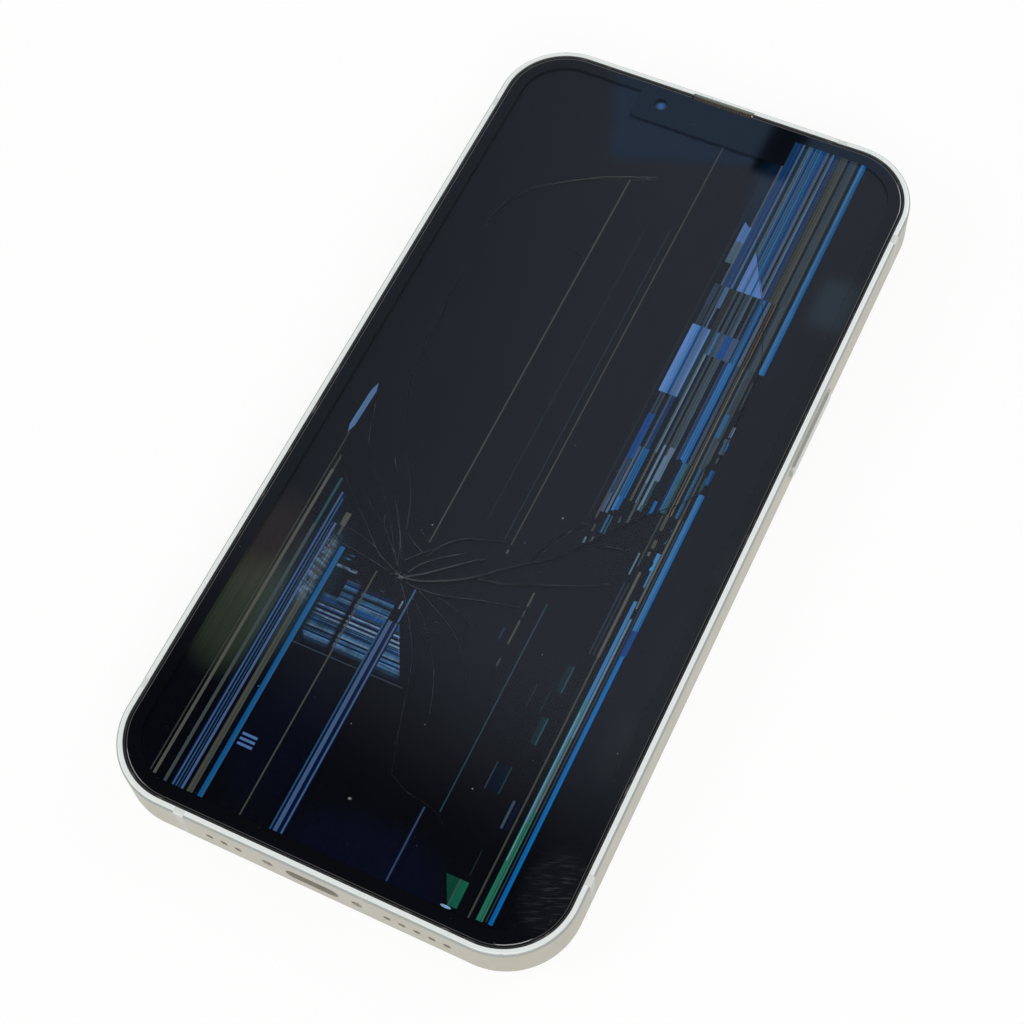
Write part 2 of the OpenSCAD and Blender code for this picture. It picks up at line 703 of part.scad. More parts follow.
// Stamped frame that holds the front modules in line
module sensor_bracket() {
    bracket_l = 3 * sensor_pitch + sensor_w + 2.4;
    color("lightgray") translate([0, sensor_y, sensor_top_z - 1.2]) linear_extrude(0.3) difference() {
        translate([0, -0.6]) square([bracket_l, sensor_w + 1.2], center = true);
        for (i = [-1.5 : 1.5]) translate([i * sensor_pitch, 0])
            square([sensor_w + 2 * fit_gap, sensor_w + 2 * fit_gap], center = true);
    }
}

// ---------------------------------------------------------------- battery

module battery_outline() {
    translate([battery_x0, battery_y0]) square([battery_x1 - battery_x0, battery_y1 - battery_y0]);
    translate([board_x0, battery_y0]) square([battery_x0 - board_x0 + 2, battery_leg_y1 - battery_y0]);
}

// L-shaped pouch with a lip along its sealed top edge
module battery() {
    color([0.09, 0.09, 0.1]) {
        translate([0, 0, battery_z]) linear_extrude(battery_t) difference() {
            battery_outline();
            translate([battery_x0 - 1, battery_y1 - 3.2]) square([battery_x1 - battery_x0 + 2, 4]);
        }
        translate([battery_x0 + 0.5, battery_y1 - 3.3, battery_z + 0.6])
            soft_box([battery_x1 - battery_x0 - 1, 3.3, battery_t - 1.2], 0.5);
    }
}

// Stretch-release strips under the battery
module battery_tape() {
    color("white") for (i = [0 : 3])
        translate([battery_x0 + 2.2 + i * (battery_x1 - battery_x0 - 12) / 3 , battery_y0 + 2, inside_z])
            cube([7.6, battery_y1 - battery_y0 - 8, glue_t]);
}

// Ribbon and plug from the battery's edge to the board
module battery_lead() {
    lead_y = upper_board_y0 - 4.6;
    lead_z = inside_z + board_t + 0.05;
    color([0.2, 0.12, 0.06]) {
        translate([board_x1 - 5.5, lead_y, lead_z]) cube([3.6, 4, 1]);
        translate([board_x1 - 5.5, lead_y + 0.6, lead_z + 1 - eps])
            cube([battery_x0 - board_x1 + 5.4, 2.8, 0.15]);
    }
}

// ---------------------------------------------------------------- logic board

module lower_board_outline() {
    difference() {
        translate([board_x0, board_y0]) square([board_w, board_y1 - board_y0]);
        translate([board_x1 - 4, board_y1 - 5]) square([5, 6]);
        translate([board_x0 + 2, board_y1 - 2]) circle(0.7);
        translate([board_x1 - 2, board_y0 + 2]) circle(0.7);
    }
}

module upper_board_outline() {
    difference() {
        translate([board_x0, upper_board_y0]) square([board_w, board_y1 - upper_board_y0]);
        translate([board_x1 - 4, board_y1 - 5]) square([5, 6]);
        translate([board_x0 - 1, board_y1 - 4]) square([4, 5]);
        translate([board_x1 - 2, upper_board_y0 + 2]) circle(0.7);
    }
}

module logic_board_lower() {
    color([0.06, 0.18, 0.12]) translate([0, 0, inside_z])
        linear_extrude(board_t) lower_board_outline();
}

// Wall of the sandwich between the two boards
module board_interposer() {
    color([0.1, 0.24, 0.14]) translate([board_x0 + 0.4, upper_board_y0 + 0.4, inside_z + board_t + 0.02])
        linear_extrude(interposer_h - 0.04) difference() {
            square([board_w - 4.8, board_y1 - upper_board_y0 - 5.8]);
            translate([1.3, 1.3]) square([board_w - 7.4, board_y1 - upper_board_y0 - 8.4]);
        }
}

module logic_board_upper() {
    color([0.06, 0.18, 0.12]) translate([0, 0, upper_board_z])
        linear_extrude(board_t) upper_board_outline();
}

// Chips inside the sandwich, each as wide, long and high as its package
module board_chips() {
    chip_z = inside_z + board_t + 0.02;
    rows = floor((board_y1 - upper_board_y0 - 12) / 11);
    color([0.05, 0.05, 0.05]) for (i = [0 : rows - 1]) {
        translate([board_x0 + 3.2, upper_board_y0 + 3.4 + i * 11, chip_z]) cube([8.4, 8.2, 0.75]);
        for (k = [0 : 3]) translate([board_x0 + 12.4, upper_board_y0 + 3.6 + i * 11 + k * 2.1, chip_z])
            cube([1.1, 1.1, 0.5]);
    }
}

// Folded cans over the chips on the upper board
module board_shields() {
    shield_z = upper_top_z + 0.02;
    span = board_y1 - flex_y - 18;
    color("lightgray") {
        translate([board_x0 + 1, flex_y + 1.2, shield_z]) soft_box([board_w - 2, 16, shield_h * 0.55], 1);
        translate([board_x0 + 3.6, flex_y + 17.8, shield_z]) soft_box([board_w - 8, span - 1, shield_h], 1);
        translate([board_x0 + 12.4, upper_board_y0 + 1, shield_z]) soft_box([5, 6.2, shield_h * 0.6], 0.5);
    }
}

// Plate over the plugs, held by small screws
module connector_cover() {
    cover_z = flex_drop_z + 0.2;
    color("silver") difference() {
        translate([flex_x - 2.4, upper_board_y0 + 0.6, cover_z]) soft_box([flex_w + 1.6, 7.1, 0.3], 0.8);
        for (x = screw_xs) translate([x, cover_screw_y, cover_z - 1]) cylinder(h = 2, r = 0.5, $fn = 24);
    }
}

screw_xs = [flex_x - 1.2, flex_x + flex_w - 2];
cover_screw_y = upper_board_y0 + 2;

// Pan-head screws of the plate, with their shanks in the upper board's inserts
module cover_screws() {
    cover_z = flex_drop_z + 0.2;
    color("gray") for (x = screw_xs) translate([x, cover_screw_y, 0]) {
        translate([0, 0, upper_top_z + 0.02]) cylinder(h = cover_z - upper_top_z, r = 0.4, $fn = 24);
        difference() {
            translate([0, 0, cover_z + 0.32]) cylinder(h = 0.4, r = 0.85, $fn = 24);
            translate([0, 0, cover_z + 0.5]) cylinder(h = 1, r = 0.35, $fn = 6);
        }
        translate([0, 0, cover_z - 0.1]) cylinder(h = 0.5, r = 0.4, $fn = 24);
    }
}

// ---------------------------------------------------------------- rear cameras

camera_z = back_inner_z + 0.55;

// Housing, barrel and ribbon of a rear camera
module rear_camera(y, height) {
    translate([lens_x - camera_w / 2, y - camera_w / 2, camera_z])
        soft_box([camera_w, camera_w, height], camera_corner_r);
    translate([lens_x, y, 1.05]) cylinder(h = camera_z - 1, r = lens_ring_r - 1.85);
    translate([lens_x - camera_w / 2 - 3.4, y - 2, camera_z + 2]) cube([3.6, 4, 0.15]);
}

module rear_camera_upper() {
    color([0.16, 0.16, 0.18]) rear_camera(lens_ys[0], roof_z - 0.5 - camera_z);
}

module rear_camera_lower() {
    color([0.14, 0.14, 0.16]) rear_camera(lens_ys[1], roof_z - 1.1 - camera_z);
}

module flash_module() {
    color([0.85, 0.8, 0.5]) translate([flash_x, lens_ys[0], back_inner_z + 0.05]) {
        cylinder(h = 0.6, r = flash_r - 0.4);
        translate([-2.6, -2.3, 0.6 - eps]) cube([5.2, 4.6, 0.3]);
    }
}

// Spring-steel fence round both cameras
module camera_bracket() {
    color("silver") translate([lens_x, bump_y, roof_z - 2.7]) linear_extrude(1.4) difference() {
        rounded_outline(bracket_w, bracket_l, bracket_r);
        rounded_outline(bracket_w - 2 * bracket_wall, bracket_l - 2 * bracket_wall, camera_corner_r);
    }
}

// ---------------------------------------------------------------- haptic motor

module haptic_case() {
    color("gainsboro") translate([haptic_x0, haptic_y0, haptic_z]) difference() {
        cube([haptic_l, haptic_w, haptic_h - haptic_wall]);
        translate([haptic_wall, haptic_wall, haptic_wall])
            cube([haptic_l - 2 * haptic_wall, haptic_w - 2 * haptic_wall, haptic_h]);
    }
}

module haptic_lid() {
    color("lightgray") translate([haptic_x0, haptic_y0, haptic_z + haptic_h - haptic_wall + 0.02])
        cube([haptic_l, haptic_w, haptic_wall]);
}

// Heavy slug with a magnet slot, free to shake along the case
module haptic_mass() {
    play = haptic_wall + haptic_travel + 0.3;
    slug_h = haptic_h - 2 * haptic_wall - 0.4;
    slug_l = haptic_l - 2 * play;
    slug_w = haptic_w - 2 * haptic_wall - 0.5;
    color("dimgray")
        translate([haptic_x0 + play, haptic_y0 + haptic_wall + 0.25, haptic_z + haptic_wall + 0.2])
            difference() {
                cube([slug_l, slug_w, slug_h]);
                translate([slug_l / 2 - 3, 1.8, slug_h - 1]) cube([6, slug_w - 3.6, 2]);
            }
}

// ---------------------------------------------------------------- bottom edge

// Sound box with a round diaphragm and a mouth towards the holes
module loudspeaker() {
    box_h = roof_z - 0.3 - haptic_z;
    color([0.13, 0.13, 0.14]) difference() {
        union() {
            translate([speaker_x0, speaker_y0 + 1.6, haptic_z])
                soft_box([speaker_x1 - speaker_x0, speaker_y1 - speaker_y0 - 1.6, box_h], 4);
            translate([first_hole_x - 1.6, speaker_y0, mid_z - 1.3]) cube([4 * hole_pitch + 3.2, 1.7, 2.6]);
        }
        translate([first_hole_x - 1, speaker_y0 - 1, mid_z - 0.8]) cube([4 * hole_pitch + 2, 2.2, 1.6]);
        translate([(speaker_x0 + speaker_x1) / 2, (speaker_y0 + 1.6 + speaker_y1) / 2, 0])
            difference() {
                translate([0, 0, haptic_z + box_h - 0.35]) cylinder(h = 1, r = 5.2);
                cylinder(h = haptic_z + box_h - 0.15, r = 3.9);
            }
    }
}

// Moulded body of the port, behind the rail
module charge_port() {
    color([0.22, 0.22, 0.24]) translate([0, -in_y + fit_gap, mid_z]) difference() {
        union() {
            translate([0, port_depth, 0]) rotate([90, 0, 0]) linear_extrude(port_depth)
                stadium(port_w + 2 * port_wall, port_h + 2 * port_wall);
            translate([-port_w / 2 - 0.4, port_cavity, -port_h / 2 - port_wall])
                cube([port_w + 0.8, port_depth - port_cavity, port_h + 2 * port_wall]);
        }
        translate([0, port_cavity, 0]) rotate([90, 0, 0]) linear_extrude(port_cavity + 1)
            stadium(port_w, port_h);
    }
}

// Sprung contacts on the floor of the port's cavity
module port_contacts() {
    color("gold") for (i = [-3.5 : 3.5])
        translate([i * 0.84 - 0.15, -in_y + fit_gap + 1.6, mid_z - port_h / 2 + 0.02])
            cube([0.3, port_cavity - 1.8, 0.22]);
}

// Ribbon under the bottom modules, with a tail along the left rail to the board
module port_flex() {
    flex_z = inside_z;
    tail_w = side_room - 0.75;
    tail_y = corner_r - half_l;
    color([0.45, 0.25, 0.08]) {
        translate([haptic_x0, haptic_y0 + 1, flex_z]) cube([speaker_x1 - haptic_x0, haptic_w - 1.6, 0.12]);
        translate([-in_x + 0.3, tail_y, flex_z]) cube([tail_w, board_y0 + 6 - tail_y, 0.12]);
        translate([-in_x + 0.4, tail_y, flex_z]) cube([haptic_x0 + in_x, 6, 0.12]);
    }
}

// Woven strips that keep dust out of the holes in the bottom rail
module hole_meshes() {
    strip_y = -in_y + fit_gap;
    color([0.25, 0.25, 0.25]) {
        translate([first_hole_x - 1.2, strip_y, mid_z - 1]) cube([4 * hole_pitch + 2.4, 0.3, 2]);
        translate([-first_hole_x - 2 * hole_pitch - 1.2, strip_y, mid_z - 1])
            cube([2 * hole_pitch + 2.4, 0.3, 2]);
    }
}

// Two screws that hold the display down at the bottom rail
module base_screws() {
    color("silver") for (s = [-1, 1]) difference() {
        union() {
            base_bar(s * base_screw_x, 0.8, 0.25, 1.1);
            base_bar(s * base_screw_x, 0.5, 0.3, 4.6);
        }
        for (turn = [0, 90]) translate([s * base_screw_x, 0.25 - half_l, mid_z]) rotate([0, turn, 0])
            cube([0.24, 0.7, 1.1], center = true);
    }
}

// ---------------------------------------------------------------- charging coil

// Flat winding with its turns shown as rings, joined by a thin backing
module charging_coil() {
    turn_pitch = 1;
    turns = floor(coil_r - 12);
    color([0.75, 0.4, 0.18]) translate([0, 0, back_inner_z + 0.08]) {
        difference() {
            cylinder(h = 0.12, r = coil_r);
            translate([0, 0, -1]) cylinder(h = 2, r = 11.5);
        }
        for (i = [0 : turns - 1]) translate([0, 0, 0.11]) difference() {
            cylinder(h = 0.2, r = coil_r - 0.2 - i * turn_pitch);
            translate([0, 0, -1]) cylinder(h = 2, r = coil_r - 0.9 - i * turn_pitch);
        }
    }
}

module coil_shield() {
    color([0.2, 0.2, 0.22]) translate([0, 0, back_inner_z + 0.43])
        cylinder(h = plate_top_z - back_inner_z - 0.45, r = coil_r);
}

// ---------------------------------------------------------------- switches and buttons

// Dome switches on a ribbon with a steel stiffener, behind buttons at the given places on the right rail
module switch_strip(y0, y1, domes, dome_r) {
    dome_x = flange_x + flange_t + nub_l + button_travel + fit_gap;
    strip_x = wall_t + fit_gap;
    translate([half_w - strip_x - 0.2, y0, mid_z - 1.7]) cube([0.2, y1 - y0, 3.4]);
    translate([half_w - strip_x - 0.6, y0 + 1, mid_z - 1.4]) cube([0.42, y1 - y0 - 2, 2.8]);
    for (y = domes) rail_bar(y, mid_z, dome_r, dome_x, strip_x + 0.05);
}

module side_button_switch() {
    color([0.7, 0.7, 0.68])
        switch_strip(side_button_y - side_button_l / 2 - 2, side_button_y + side_button_l / 2 + 2,
            [side_button_y], 1.5);
}

module left_switches() {
    color([0.7, 0.7, 0.68]) mirror([1, 0, 0])
        switch_strip(volume_ys[1] - volume_button_l / 2 - 1, ring_switch_y + 5, volume_ys, 1.3);
}

// Cap, flange and nub of a push button on the right rail
module push_button(y, len) {
    rail_stadium(y, mid_z, len, button_w, -button_proud, flange_x + eps);
    rail_stadium(y, mid_z, len + flange_extra, button_w + flange_extra, flange_x, flange_x + flange_t);
    rail_bar(y, mid_z, 0.7, flange_x + flange_t - eps, flange_x + flange_t + nub_l);
}

module side_button() {
    color(rail_tint) push_button(side_button_y, side_button_l);
}

module volume_up_button() {
    color(rail_tint) mirror([1, 0, 0]) push_button(volume_ys[0], volume_button_l);
}

module volume_down_button() {
    color(rail_tint) mirror([1, 0, 0]) push_button(volume_ys[1], volume_button_l);
}

// The ring switch slides from the screen side of its slot towards the back
ring_knob_w = 1.5;
function ring_slot_l() = 6;
function ring_slot_w() = ring_knob_w + ring_travel;
ring_knob_z = mid_z + ring_travel / 2;

module ring_switch() {
    knob_l = ring_slot_l() - 0.3;
    flange_w = button_w + pocket_extra - ring_travel - 0.2;
    color(rail_tint) mirror([1, 0, 0]) {
        rail_stadium(ring_switch_y, ring_knob_z, knob_l - 0.7, ring_knob_w, 0.05, flange_x + eps);
        translate([half_w - flange_x - flange_t, ring_switch_y - knob_l / 2, ring_knob_z - flange_w / 2])
            cube([flange_t, knob_l, flange_w]);
    }
}

// ---------------------------------------------------------------- card tray

// Folded cage that the tray slides into, open towards the rail
module card_reader() {
    inner_h = tray_plate_t + card_t + 0.6;
    cage_z = tray_z - inner_h / 2 - reader_wall;
    cage_l = tray_depth - wall_t + 0.8;
    color("gainsboro") difference() {
        translate([-in_x + fit_gap, tray_y - reader_w / 2, cage_z])
            cube([cage_l, reader_w, inner_h + 2 * reader_wall]);
        translate([-in_x - 1, tray_y - reader_w / 2 + reader_wall, cage_z + reader_wall])
            cube([cage_l + 1 - reader_wall, reader_w - 2 * reader_wall, inner_h]);
        translate([-in_x + 4, tray_y - 3, cage_z + inner_h]) cube([6.5, 6, 2]);
    }
}

// Face plate with its pin hole, and the plate with the pocket for the card
module card_tray() {
    tray_base_z = tray_z - (tray_plate_t + card_t) / 2;
    color(rail_tint) difference() {
        union() {
            left_rail_stadium(tray_y, tray_z, tray_face_l, tray_face_w, 0.05, tray_face_t);
            translate([-half_w + tray_face_t - eps, tray_y - tray_body_w / 2, tray_base_z])
                cube([tray_depth - tray_face_t, tray_body_w, tray_plate_t]);
        }
        translate([-half_w + 2.6, tray_y - card_w / 2 - 0.1, tray_base_z + 0.2])
            cube([card_l + 0.2, card_w + 0.2, 2]);
        translate([-half_w + 5, tray_y - 3, tray_base_z - 1]) cube([7.5, 6, 3]);
        translate([-half_w - 1, pin_hole_y, tray_z]) rotate([0, 90, 0]) cylinder(h = 4, r = pin_hole_r);
    }
}

// ---------------------------------------------------------------- output

frame_rail_left();
frame_rail_right();
frame_top_left();
frame_top_right();
frame_bottom_left();
frame_bottom_right();
antenna_splits();
mid_plate();
back_glass();
back_adhesive();
lens_ring_upper();
lens_ring_lower();
lens_glass_upper();
lens_glass_lower();
flash_window();
rear_microphone();
cover_glass();
display_bezel();
display_panel();
display_plate();
display_flex();
display_gasket();
earpiece_mesh();
earpiece_speaker();
front_camera();
depth_sensor();
sensor_bracket();
battery();
battery_tape();
battery_lead();
logic_board_lower();
board_interposer();
logic_board_upper();
board_chips();
board_shields();
connector_cover();
cover_screws();
rear_camera_upper();
rear_camera_lower();
flash_module();
camera_bracket();
haptic_case();
haptic_lid();
haptic_mass();
loudspeaker();
charge_port();
port_contacts();
port_flex();
hole_meshes();
base_screws();
charging_coil();
coil_shield();
side_button_switch();
left_switches();
card_reader();
side_button();
volume_up_button();
volume_down_button();
ring_switch();
card_tray();
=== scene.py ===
"""Slab phone with a cracked cover glass and a faulty display.

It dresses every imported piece, adds the small pieces that sit on the glass and behind the lenses, and sets
the floor, the light and the camera. Meshes are made in metres, and materials work in millimetres.
"""
import logging
import math
import random
from dataclasses import dataclass, replace
from enum import Enum
from typing import Iterable, Sequence

import bmesh
import bpy
from mathutils import Euler, Matrix, Vector


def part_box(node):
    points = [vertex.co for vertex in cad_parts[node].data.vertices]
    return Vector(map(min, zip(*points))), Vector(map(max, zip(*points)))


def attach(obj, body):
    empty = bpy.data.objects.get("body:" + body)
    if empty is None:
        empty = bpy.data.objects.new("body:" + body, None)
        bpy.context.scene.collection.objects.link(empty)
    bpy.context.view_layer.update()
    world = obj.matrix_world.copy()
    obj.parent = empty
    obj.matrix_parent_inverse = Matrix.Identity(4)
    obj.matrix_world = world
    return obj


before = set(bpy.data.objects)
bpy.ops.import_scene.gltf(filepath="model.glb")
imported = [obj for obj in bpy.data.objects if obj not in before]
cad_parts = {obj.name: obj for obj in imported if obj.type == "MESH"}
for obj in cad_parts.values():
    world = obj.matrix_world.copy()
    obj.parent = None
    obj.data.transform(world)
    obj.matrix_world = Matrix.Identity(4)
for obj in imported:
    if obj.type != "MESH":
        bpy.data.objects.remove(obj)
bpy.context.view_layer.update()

MM = 0.001
PHONE = "phone"
log = logging.getLogger("phone")

Colour = tuple[float, float, float]
Triple = tuple[float, float, float]
Point = tuple[float, float]


def srgb(red: int, green: int, blue: int) -> Colour:
    """Turns a colour written from 0 to 255 into linear light.

    Args:
        red: Share of red.
        green: Share of green.
        blue: Share of blue.

    Returns:
        The linear colour.
    """
    shares = [part / 255 for part in (red, green, blue)]
    return tuple(s / 12.92 if s < 0.04045 else ((s + 0.055) / 1.055) ** 2.4 for s in shares)


class Value:
    """A node's output in an expression: its operators add Math nodes."""

    def __init__(self, graph: "Graph", socket: bpy.types.NodeSocket) -> None:
        """Wraps a socket of one graph."""
        self.graph = graph
        self.socket = socket

    def math(self, operation: str, *others: "float | Value") -> "Value":
        """Returns this value and the others joined by a Math node's operation."""
        return self.graph.node("Math", {"operation": operation}, (self, *others))

    def __add__(self, other: "float | Value") -> "Value":
        """Sum."""
        return self.math("ADD", other)

    __radd__ = __add__

    def __sub__(self, other: "float | Value") -> "Value":
        """Difference."""
        return self.math("SUBTRACT", other)

    def __rsub__(self, other: "float | Value") -> "Value":
        """Difference, with this value taken off."""
        return self.graph.node("Math", {"operation": "SUBTRACT"}, (other, self))

    def __mul__(self, other: "float | Value") -> "Value":
        """Product."""
        return self.math("MULTIPLY", other)

    __rmul__ = __mul__

    def __truediv__(self, other: "float | Value") -> "Value":
        """Quotient."""
        return self.math("DIVIDE", other)

    def __gt__(self, other: "float | Value") -> "Value":
        """1 where this value is the greater."""
        return self.math("GREATER_THAN", other)

    def __lt__(self, other: "float | Value") -> "Value":
        """1 where this value is the smaller."""
        return self.math("LESS_THAN", other)

    def __abs__(self) -> "Value":
        """Size without sign."""
        return self.math("ABSOLUTE")

    def near(self, centre: float, reach: float) -> "Value":
        """1 within reach of the centre."""
        return self.math("COMPARE", centre, reach)

    def between(self, low: float, high: float) -> "Value":
        """1 from low to high."""
        return self.near((low + high) / 2, (high - low) / 2)

    def ease(self, start: float, end: float) -> "Value":
        """Rises smoothly from 0 to 1.

        Args:
            start: Where it is 0; it may be the greater of the two.
            end: Where it is 1.

        Returns:
            The eased share.
        """
        settings = {"interpolation_type": "SMOOTHSTEP"}
        low, high, out = (start, end, (0.0, 1.0)) if start < end else (end, start, (1.0, 0.0))
        return self.graph.node("MapRange", settings, (self, low, high, *out))


class Graph:
    """The nodes of one material or world."""

    def __init__(self, tree: bpy.types.NodeTree) -> None:
        """Empties the tree and keeps it.

        Args:
            tree: The tree of a material or world.
        """
        tree.nodes.clear()
        self.tree = tree
        self._place: Value | None = None
        self._axes: tuple[Value, ...] | None = None

    def node(self, kind: str, settings: dict | None = None, sockets: dict | Sequence | None = None,
             output: int | str = 0) -> Value:
        """Adds a node.

        Args:
            kind: The node's type without its ShaderNode prefix.
            settings: Its properties, set first. stops and blend are a colour ramp's.
            sockets: Values or links by socket name or place.
            output: The output to return.

        Returns:
            The chosen output.
        """
        made = self.tree.nodes.new("ShaderNode" + kind)
        for key, value in (settings or {}).items():
            if key == "stops":
                self._set_stops(made.color_ramp, value)
            elif key == "blend":
                made.color_ramp.interpolation = value
            else:
                setattr(made, key, value)
        pairs = sockets.items() if isinstance(sockets, dict) else enumerate(sockets or ())
        for key, value in pairs:
            self._feed(made.inputs[key], value)
        return Value(self, made.outputs[output]) if made.outputs else Value(self, None)

    def outputs(self, kind: str, *names: str) -> list[Value]:
        """Adds a node without inputs and returns some of its outputs.

        Args:
            kind: The node's type without its ShaderNode prefix.
            names: Names of the outputs.

        Returns:
            The outputs, in order.
        """
        first = self.node(kind, output=names[0])
        return [Value(self, first.socket.node.outputs[name]) for name in names]

    def split(self, vector: Value) -> tuple[Value, ...]:
        """Returns the three parts of a vector."""
        first = self.node("SeparateXYZ", None, (vector,))
        return tuple(Value(self, part) for part in first.socket.node.outputs)

    def _feed(self, socket: bpy.types.NodeSocket, value: object) -> None:
        """Links or sets one socket.

        Args:
            socket: The input.
            value: A value to link, or a constant.
        """
        if isinstance(value, Value):
            self.tree.links.new(value.socket, socket)
        elif socket.type == "RGBA" and len(value) == 3:
            socket.default_value = (*value, 1.0)
        else:
            socket.default_value = value

    @staticmethod
    def _set_stops(ramp: bpy.types.ColorRamp, stops: Sequence[tuple[float, Colour]]) -> None:
        """Gives a ramp its stops.

        Args:
            ramp: The ramp.
            stops: Place and colour of each stop, in order.
        """
        while len(ramp.elements) < len(stops):
            ramp.elements.new(1.0)
        for element, (place, _) in zip(ramp.elements, stops):
            element.position = place
        for element, (_, colour) in zip(ramp.elements, stops):
            element.color = (*colour, 1.0)

    @property
    def place(self) -> Value:
        """Object coordinates in millimetres.

        Returns:
            The vector, made once.
        """
        if self._place is None:
            metres = self.node("TexCoord", output="Object")
            self._place = self.node("VectorMath", {"operation": "SCALE"}, {0: metres, 3: 1 / MM})
        return self._place

    @property
    def axes(self) -> tuple[Value, ...]:
        """Object coordinates in millimetres, one value each.

        Returns:
            The values, made once.
        """
        if self._axes is None:
            self._axes = self.split(self.place)
        return self._axes

    def stretched(self, scale: Triple) -> Value:
        """Coordinates in millimetres, times a scale along each axis."""
        return self.node("VectorMath", {"operation": "MULTIPLY"}, (self.place, scale))

    def noise(self, scale: float, detail: float = 2.0, along: Triple | None = None) -> Value:
        """Noise.

        Args:
            scale: Waves in a millimetre.
            detail: Finer layers on top.
            along: How much the waves are squeezed along each axis, or None for even noise.

        Returns:
            A value from 0 to 1.
        """
        vector = self.place if along is None else self.stretched(along)
        return self.node("TexNoise", None, {"Vector": vector, "Scale": scale, "Detail": detail})

    def cells(self, scale: float, feature: str = "F1") -> Value:
        """Distance inside Voronoi cells of so many to a millimetre."""
        return self.node("TexVoronoi", {"feature": feature}, {"Vector": self.place, "Scale": scale})

    def mix(self, factor: float | Value, below: object, above: object, how: str = "MIX") -> Value:
        """Two colours mixed by a factor."""
        settings = {"data_type": "RGBA", "blend_type": how}
        return self.node("Mix", settings, {0: factor, 6: below, 7: above}, 2)

    def bump(self, height: Value, strength: float, depth: float) -> Value:
        """Normal of a surface with this height, which is depth millimetres at 1."""
        return self.node("Bump", None, {"Strength": strength, "Distance": depth * MM, "Height": height})

    def surface(self, **sockets: object) -> Value:
        """A Principled shader; socket names are written with underscores."""
        named = {key.replace("_", " ").title().replace("Ior", "IOR"): v for key, v in sockets.items()}
        return self.node("BsdfPrincipled", None, named)

    def blend_shaders(self, factor: Value | float, below: Value, above: Value) -> Value:
        """Two shaders mixed by a factor."""
        return self.node("MixShader", None, (factor, below, above))

    def faces_up(self) -> Value:
        """How far the surface looks up: 1 for a level face and 0 for an upright one."""
        return self.split(self.node("NewGeometry", output="Normal"))[2]

    def radius(self, x: float, y: float) -> Value:
        """Distance in millimetres from the upright axis at x and y."""
        settings = {"operation": "DISTANCE"}
        return self.node("VectorMath", settings, (self.stretched((1.0, 1.0, 0.0)), (x, y, 0.0)), "Value")

    def oval(self, at: Point, reach: Point) -> Value:
        """Squared distance from a point, measured in an oval's reaches: 1 on the oval itself.

        Args:
            at: The oval's middle, in millimetres.
            reach: Its reach along x and y.

        Returns:
            0 in the middle, and growing outwards.
        """
        x, y, _ = self.axes
        across, along = (x - at[0]) / reach[0], (y - at[1]) / reach[1]
        return across * across + along * along


@dataclass(frozen=True)
class Finish:
    """A surface finish, made as a material the first time it is used."""

    name: str

    def shade(self, g: Graph) -> Value:
        """Returns the shader of this finish."""
        raise NotImplementedError

    def material(self) -> bpy.types.Material:
        """Makes the material the first time it is asked for.

        Returns:
            The material.
        """
        found = bpy.data.materials.get(f"{self.name}_finish")
        if found is None:
            found = bpy.data.materials.new(f"{self.name}_finish")
            found.use_nodes = True
            graph = Graph(found.node_tree)
            shader = self.shade(graph)
            graph.node("OutputMaterial", None, {"Surface": shader})
        return found

    def dress(self, *nodes: str) -> None:
        """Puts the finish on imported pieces.

        Args:
            nodes: Names of CAD nodes.
        """
        for name in nodes:
            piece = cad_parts[name]
            if not piece.material_slots:
                piece.data.materials.append(self.material())
            for place in piece.material_slots:
                place.material = self.material()
            log.info("%s: %s", name, self.name)


@dataclass(frozen=True)
class Anodised(Finish):
    """Bead-blasted aluminium, anodised: soft sheen, a fine grain, handling marks, and darker patches along
    a seam.

    The rims of the rails have a painted highlight, near white where they face up, with a grey band of
    painted shade on the curve of the edge; along the seam with the back glass the colour turns darker and
    browner.
    """

    tone: Colour
    shade_tone: Colour
    roughness: float
    metallic: float
    rim_from: float
    seam_z: float

    def shade(self, g: Graph) -> Value:
        """Returns the shader.

        Args:
            g: The material's nodes.

        Returns:
            The shader.
        """
        _, _, z = g.axes
        cloud = g.noise(0.11, 3).ease(0.35, 0.7)
        grain = g.noise(9, 2)
        marks = g.noise(1.3, 2, (1.0, 0.09, 1.0)).ease(0.66, 0.74)
        rubs = g.noise(0.5, 4, (1.0, 0.3, 1.6)).ease(0.6, 0.72)
        brow_shade = z.ease(self.rim_from - 0.3, self.rim_from - 0.2)
        rim_highlight = brow_shade * g.faces_up().ease(0.84, 0.97)
        # Darker, browner patches along the seam with the back glass.
        seam = z.ease(self.seam_z + 0.35, self.seam_z) * g.noise(0.8, 3).ease(0.4, 0.65)
        colour = g.mix(cloud * 0.6, self.tone, self.shade_tone)
        # Painted shade: a grey band on the curve of the upper edge.
        colour = g.mix(brow_shade * 0.9, colour, srgb(146, 151, 149))
        # Painted highlight: near white where the upper edge faces up.
        colour = g.mix(rim_highlight, colour, srgb(229, 234, 231))
        colour = g.mix(marks * 0.25, colour, (0.5, 0.47, 0.4))
        colour = g.mix(seam * 0.45, colour, (0.3, 0.25, 0.17))
        rough = (self.roughness + rubs * 0.1 + marks * 0.12 - rim_highlight * 0.06) + grain * 0.05
        return g.surface(base_color=colour, roughness=rough, metallic=self.metallic - brow_shade * 0.35,
                         normal=g.bump(grain, 0.12, 0.03))


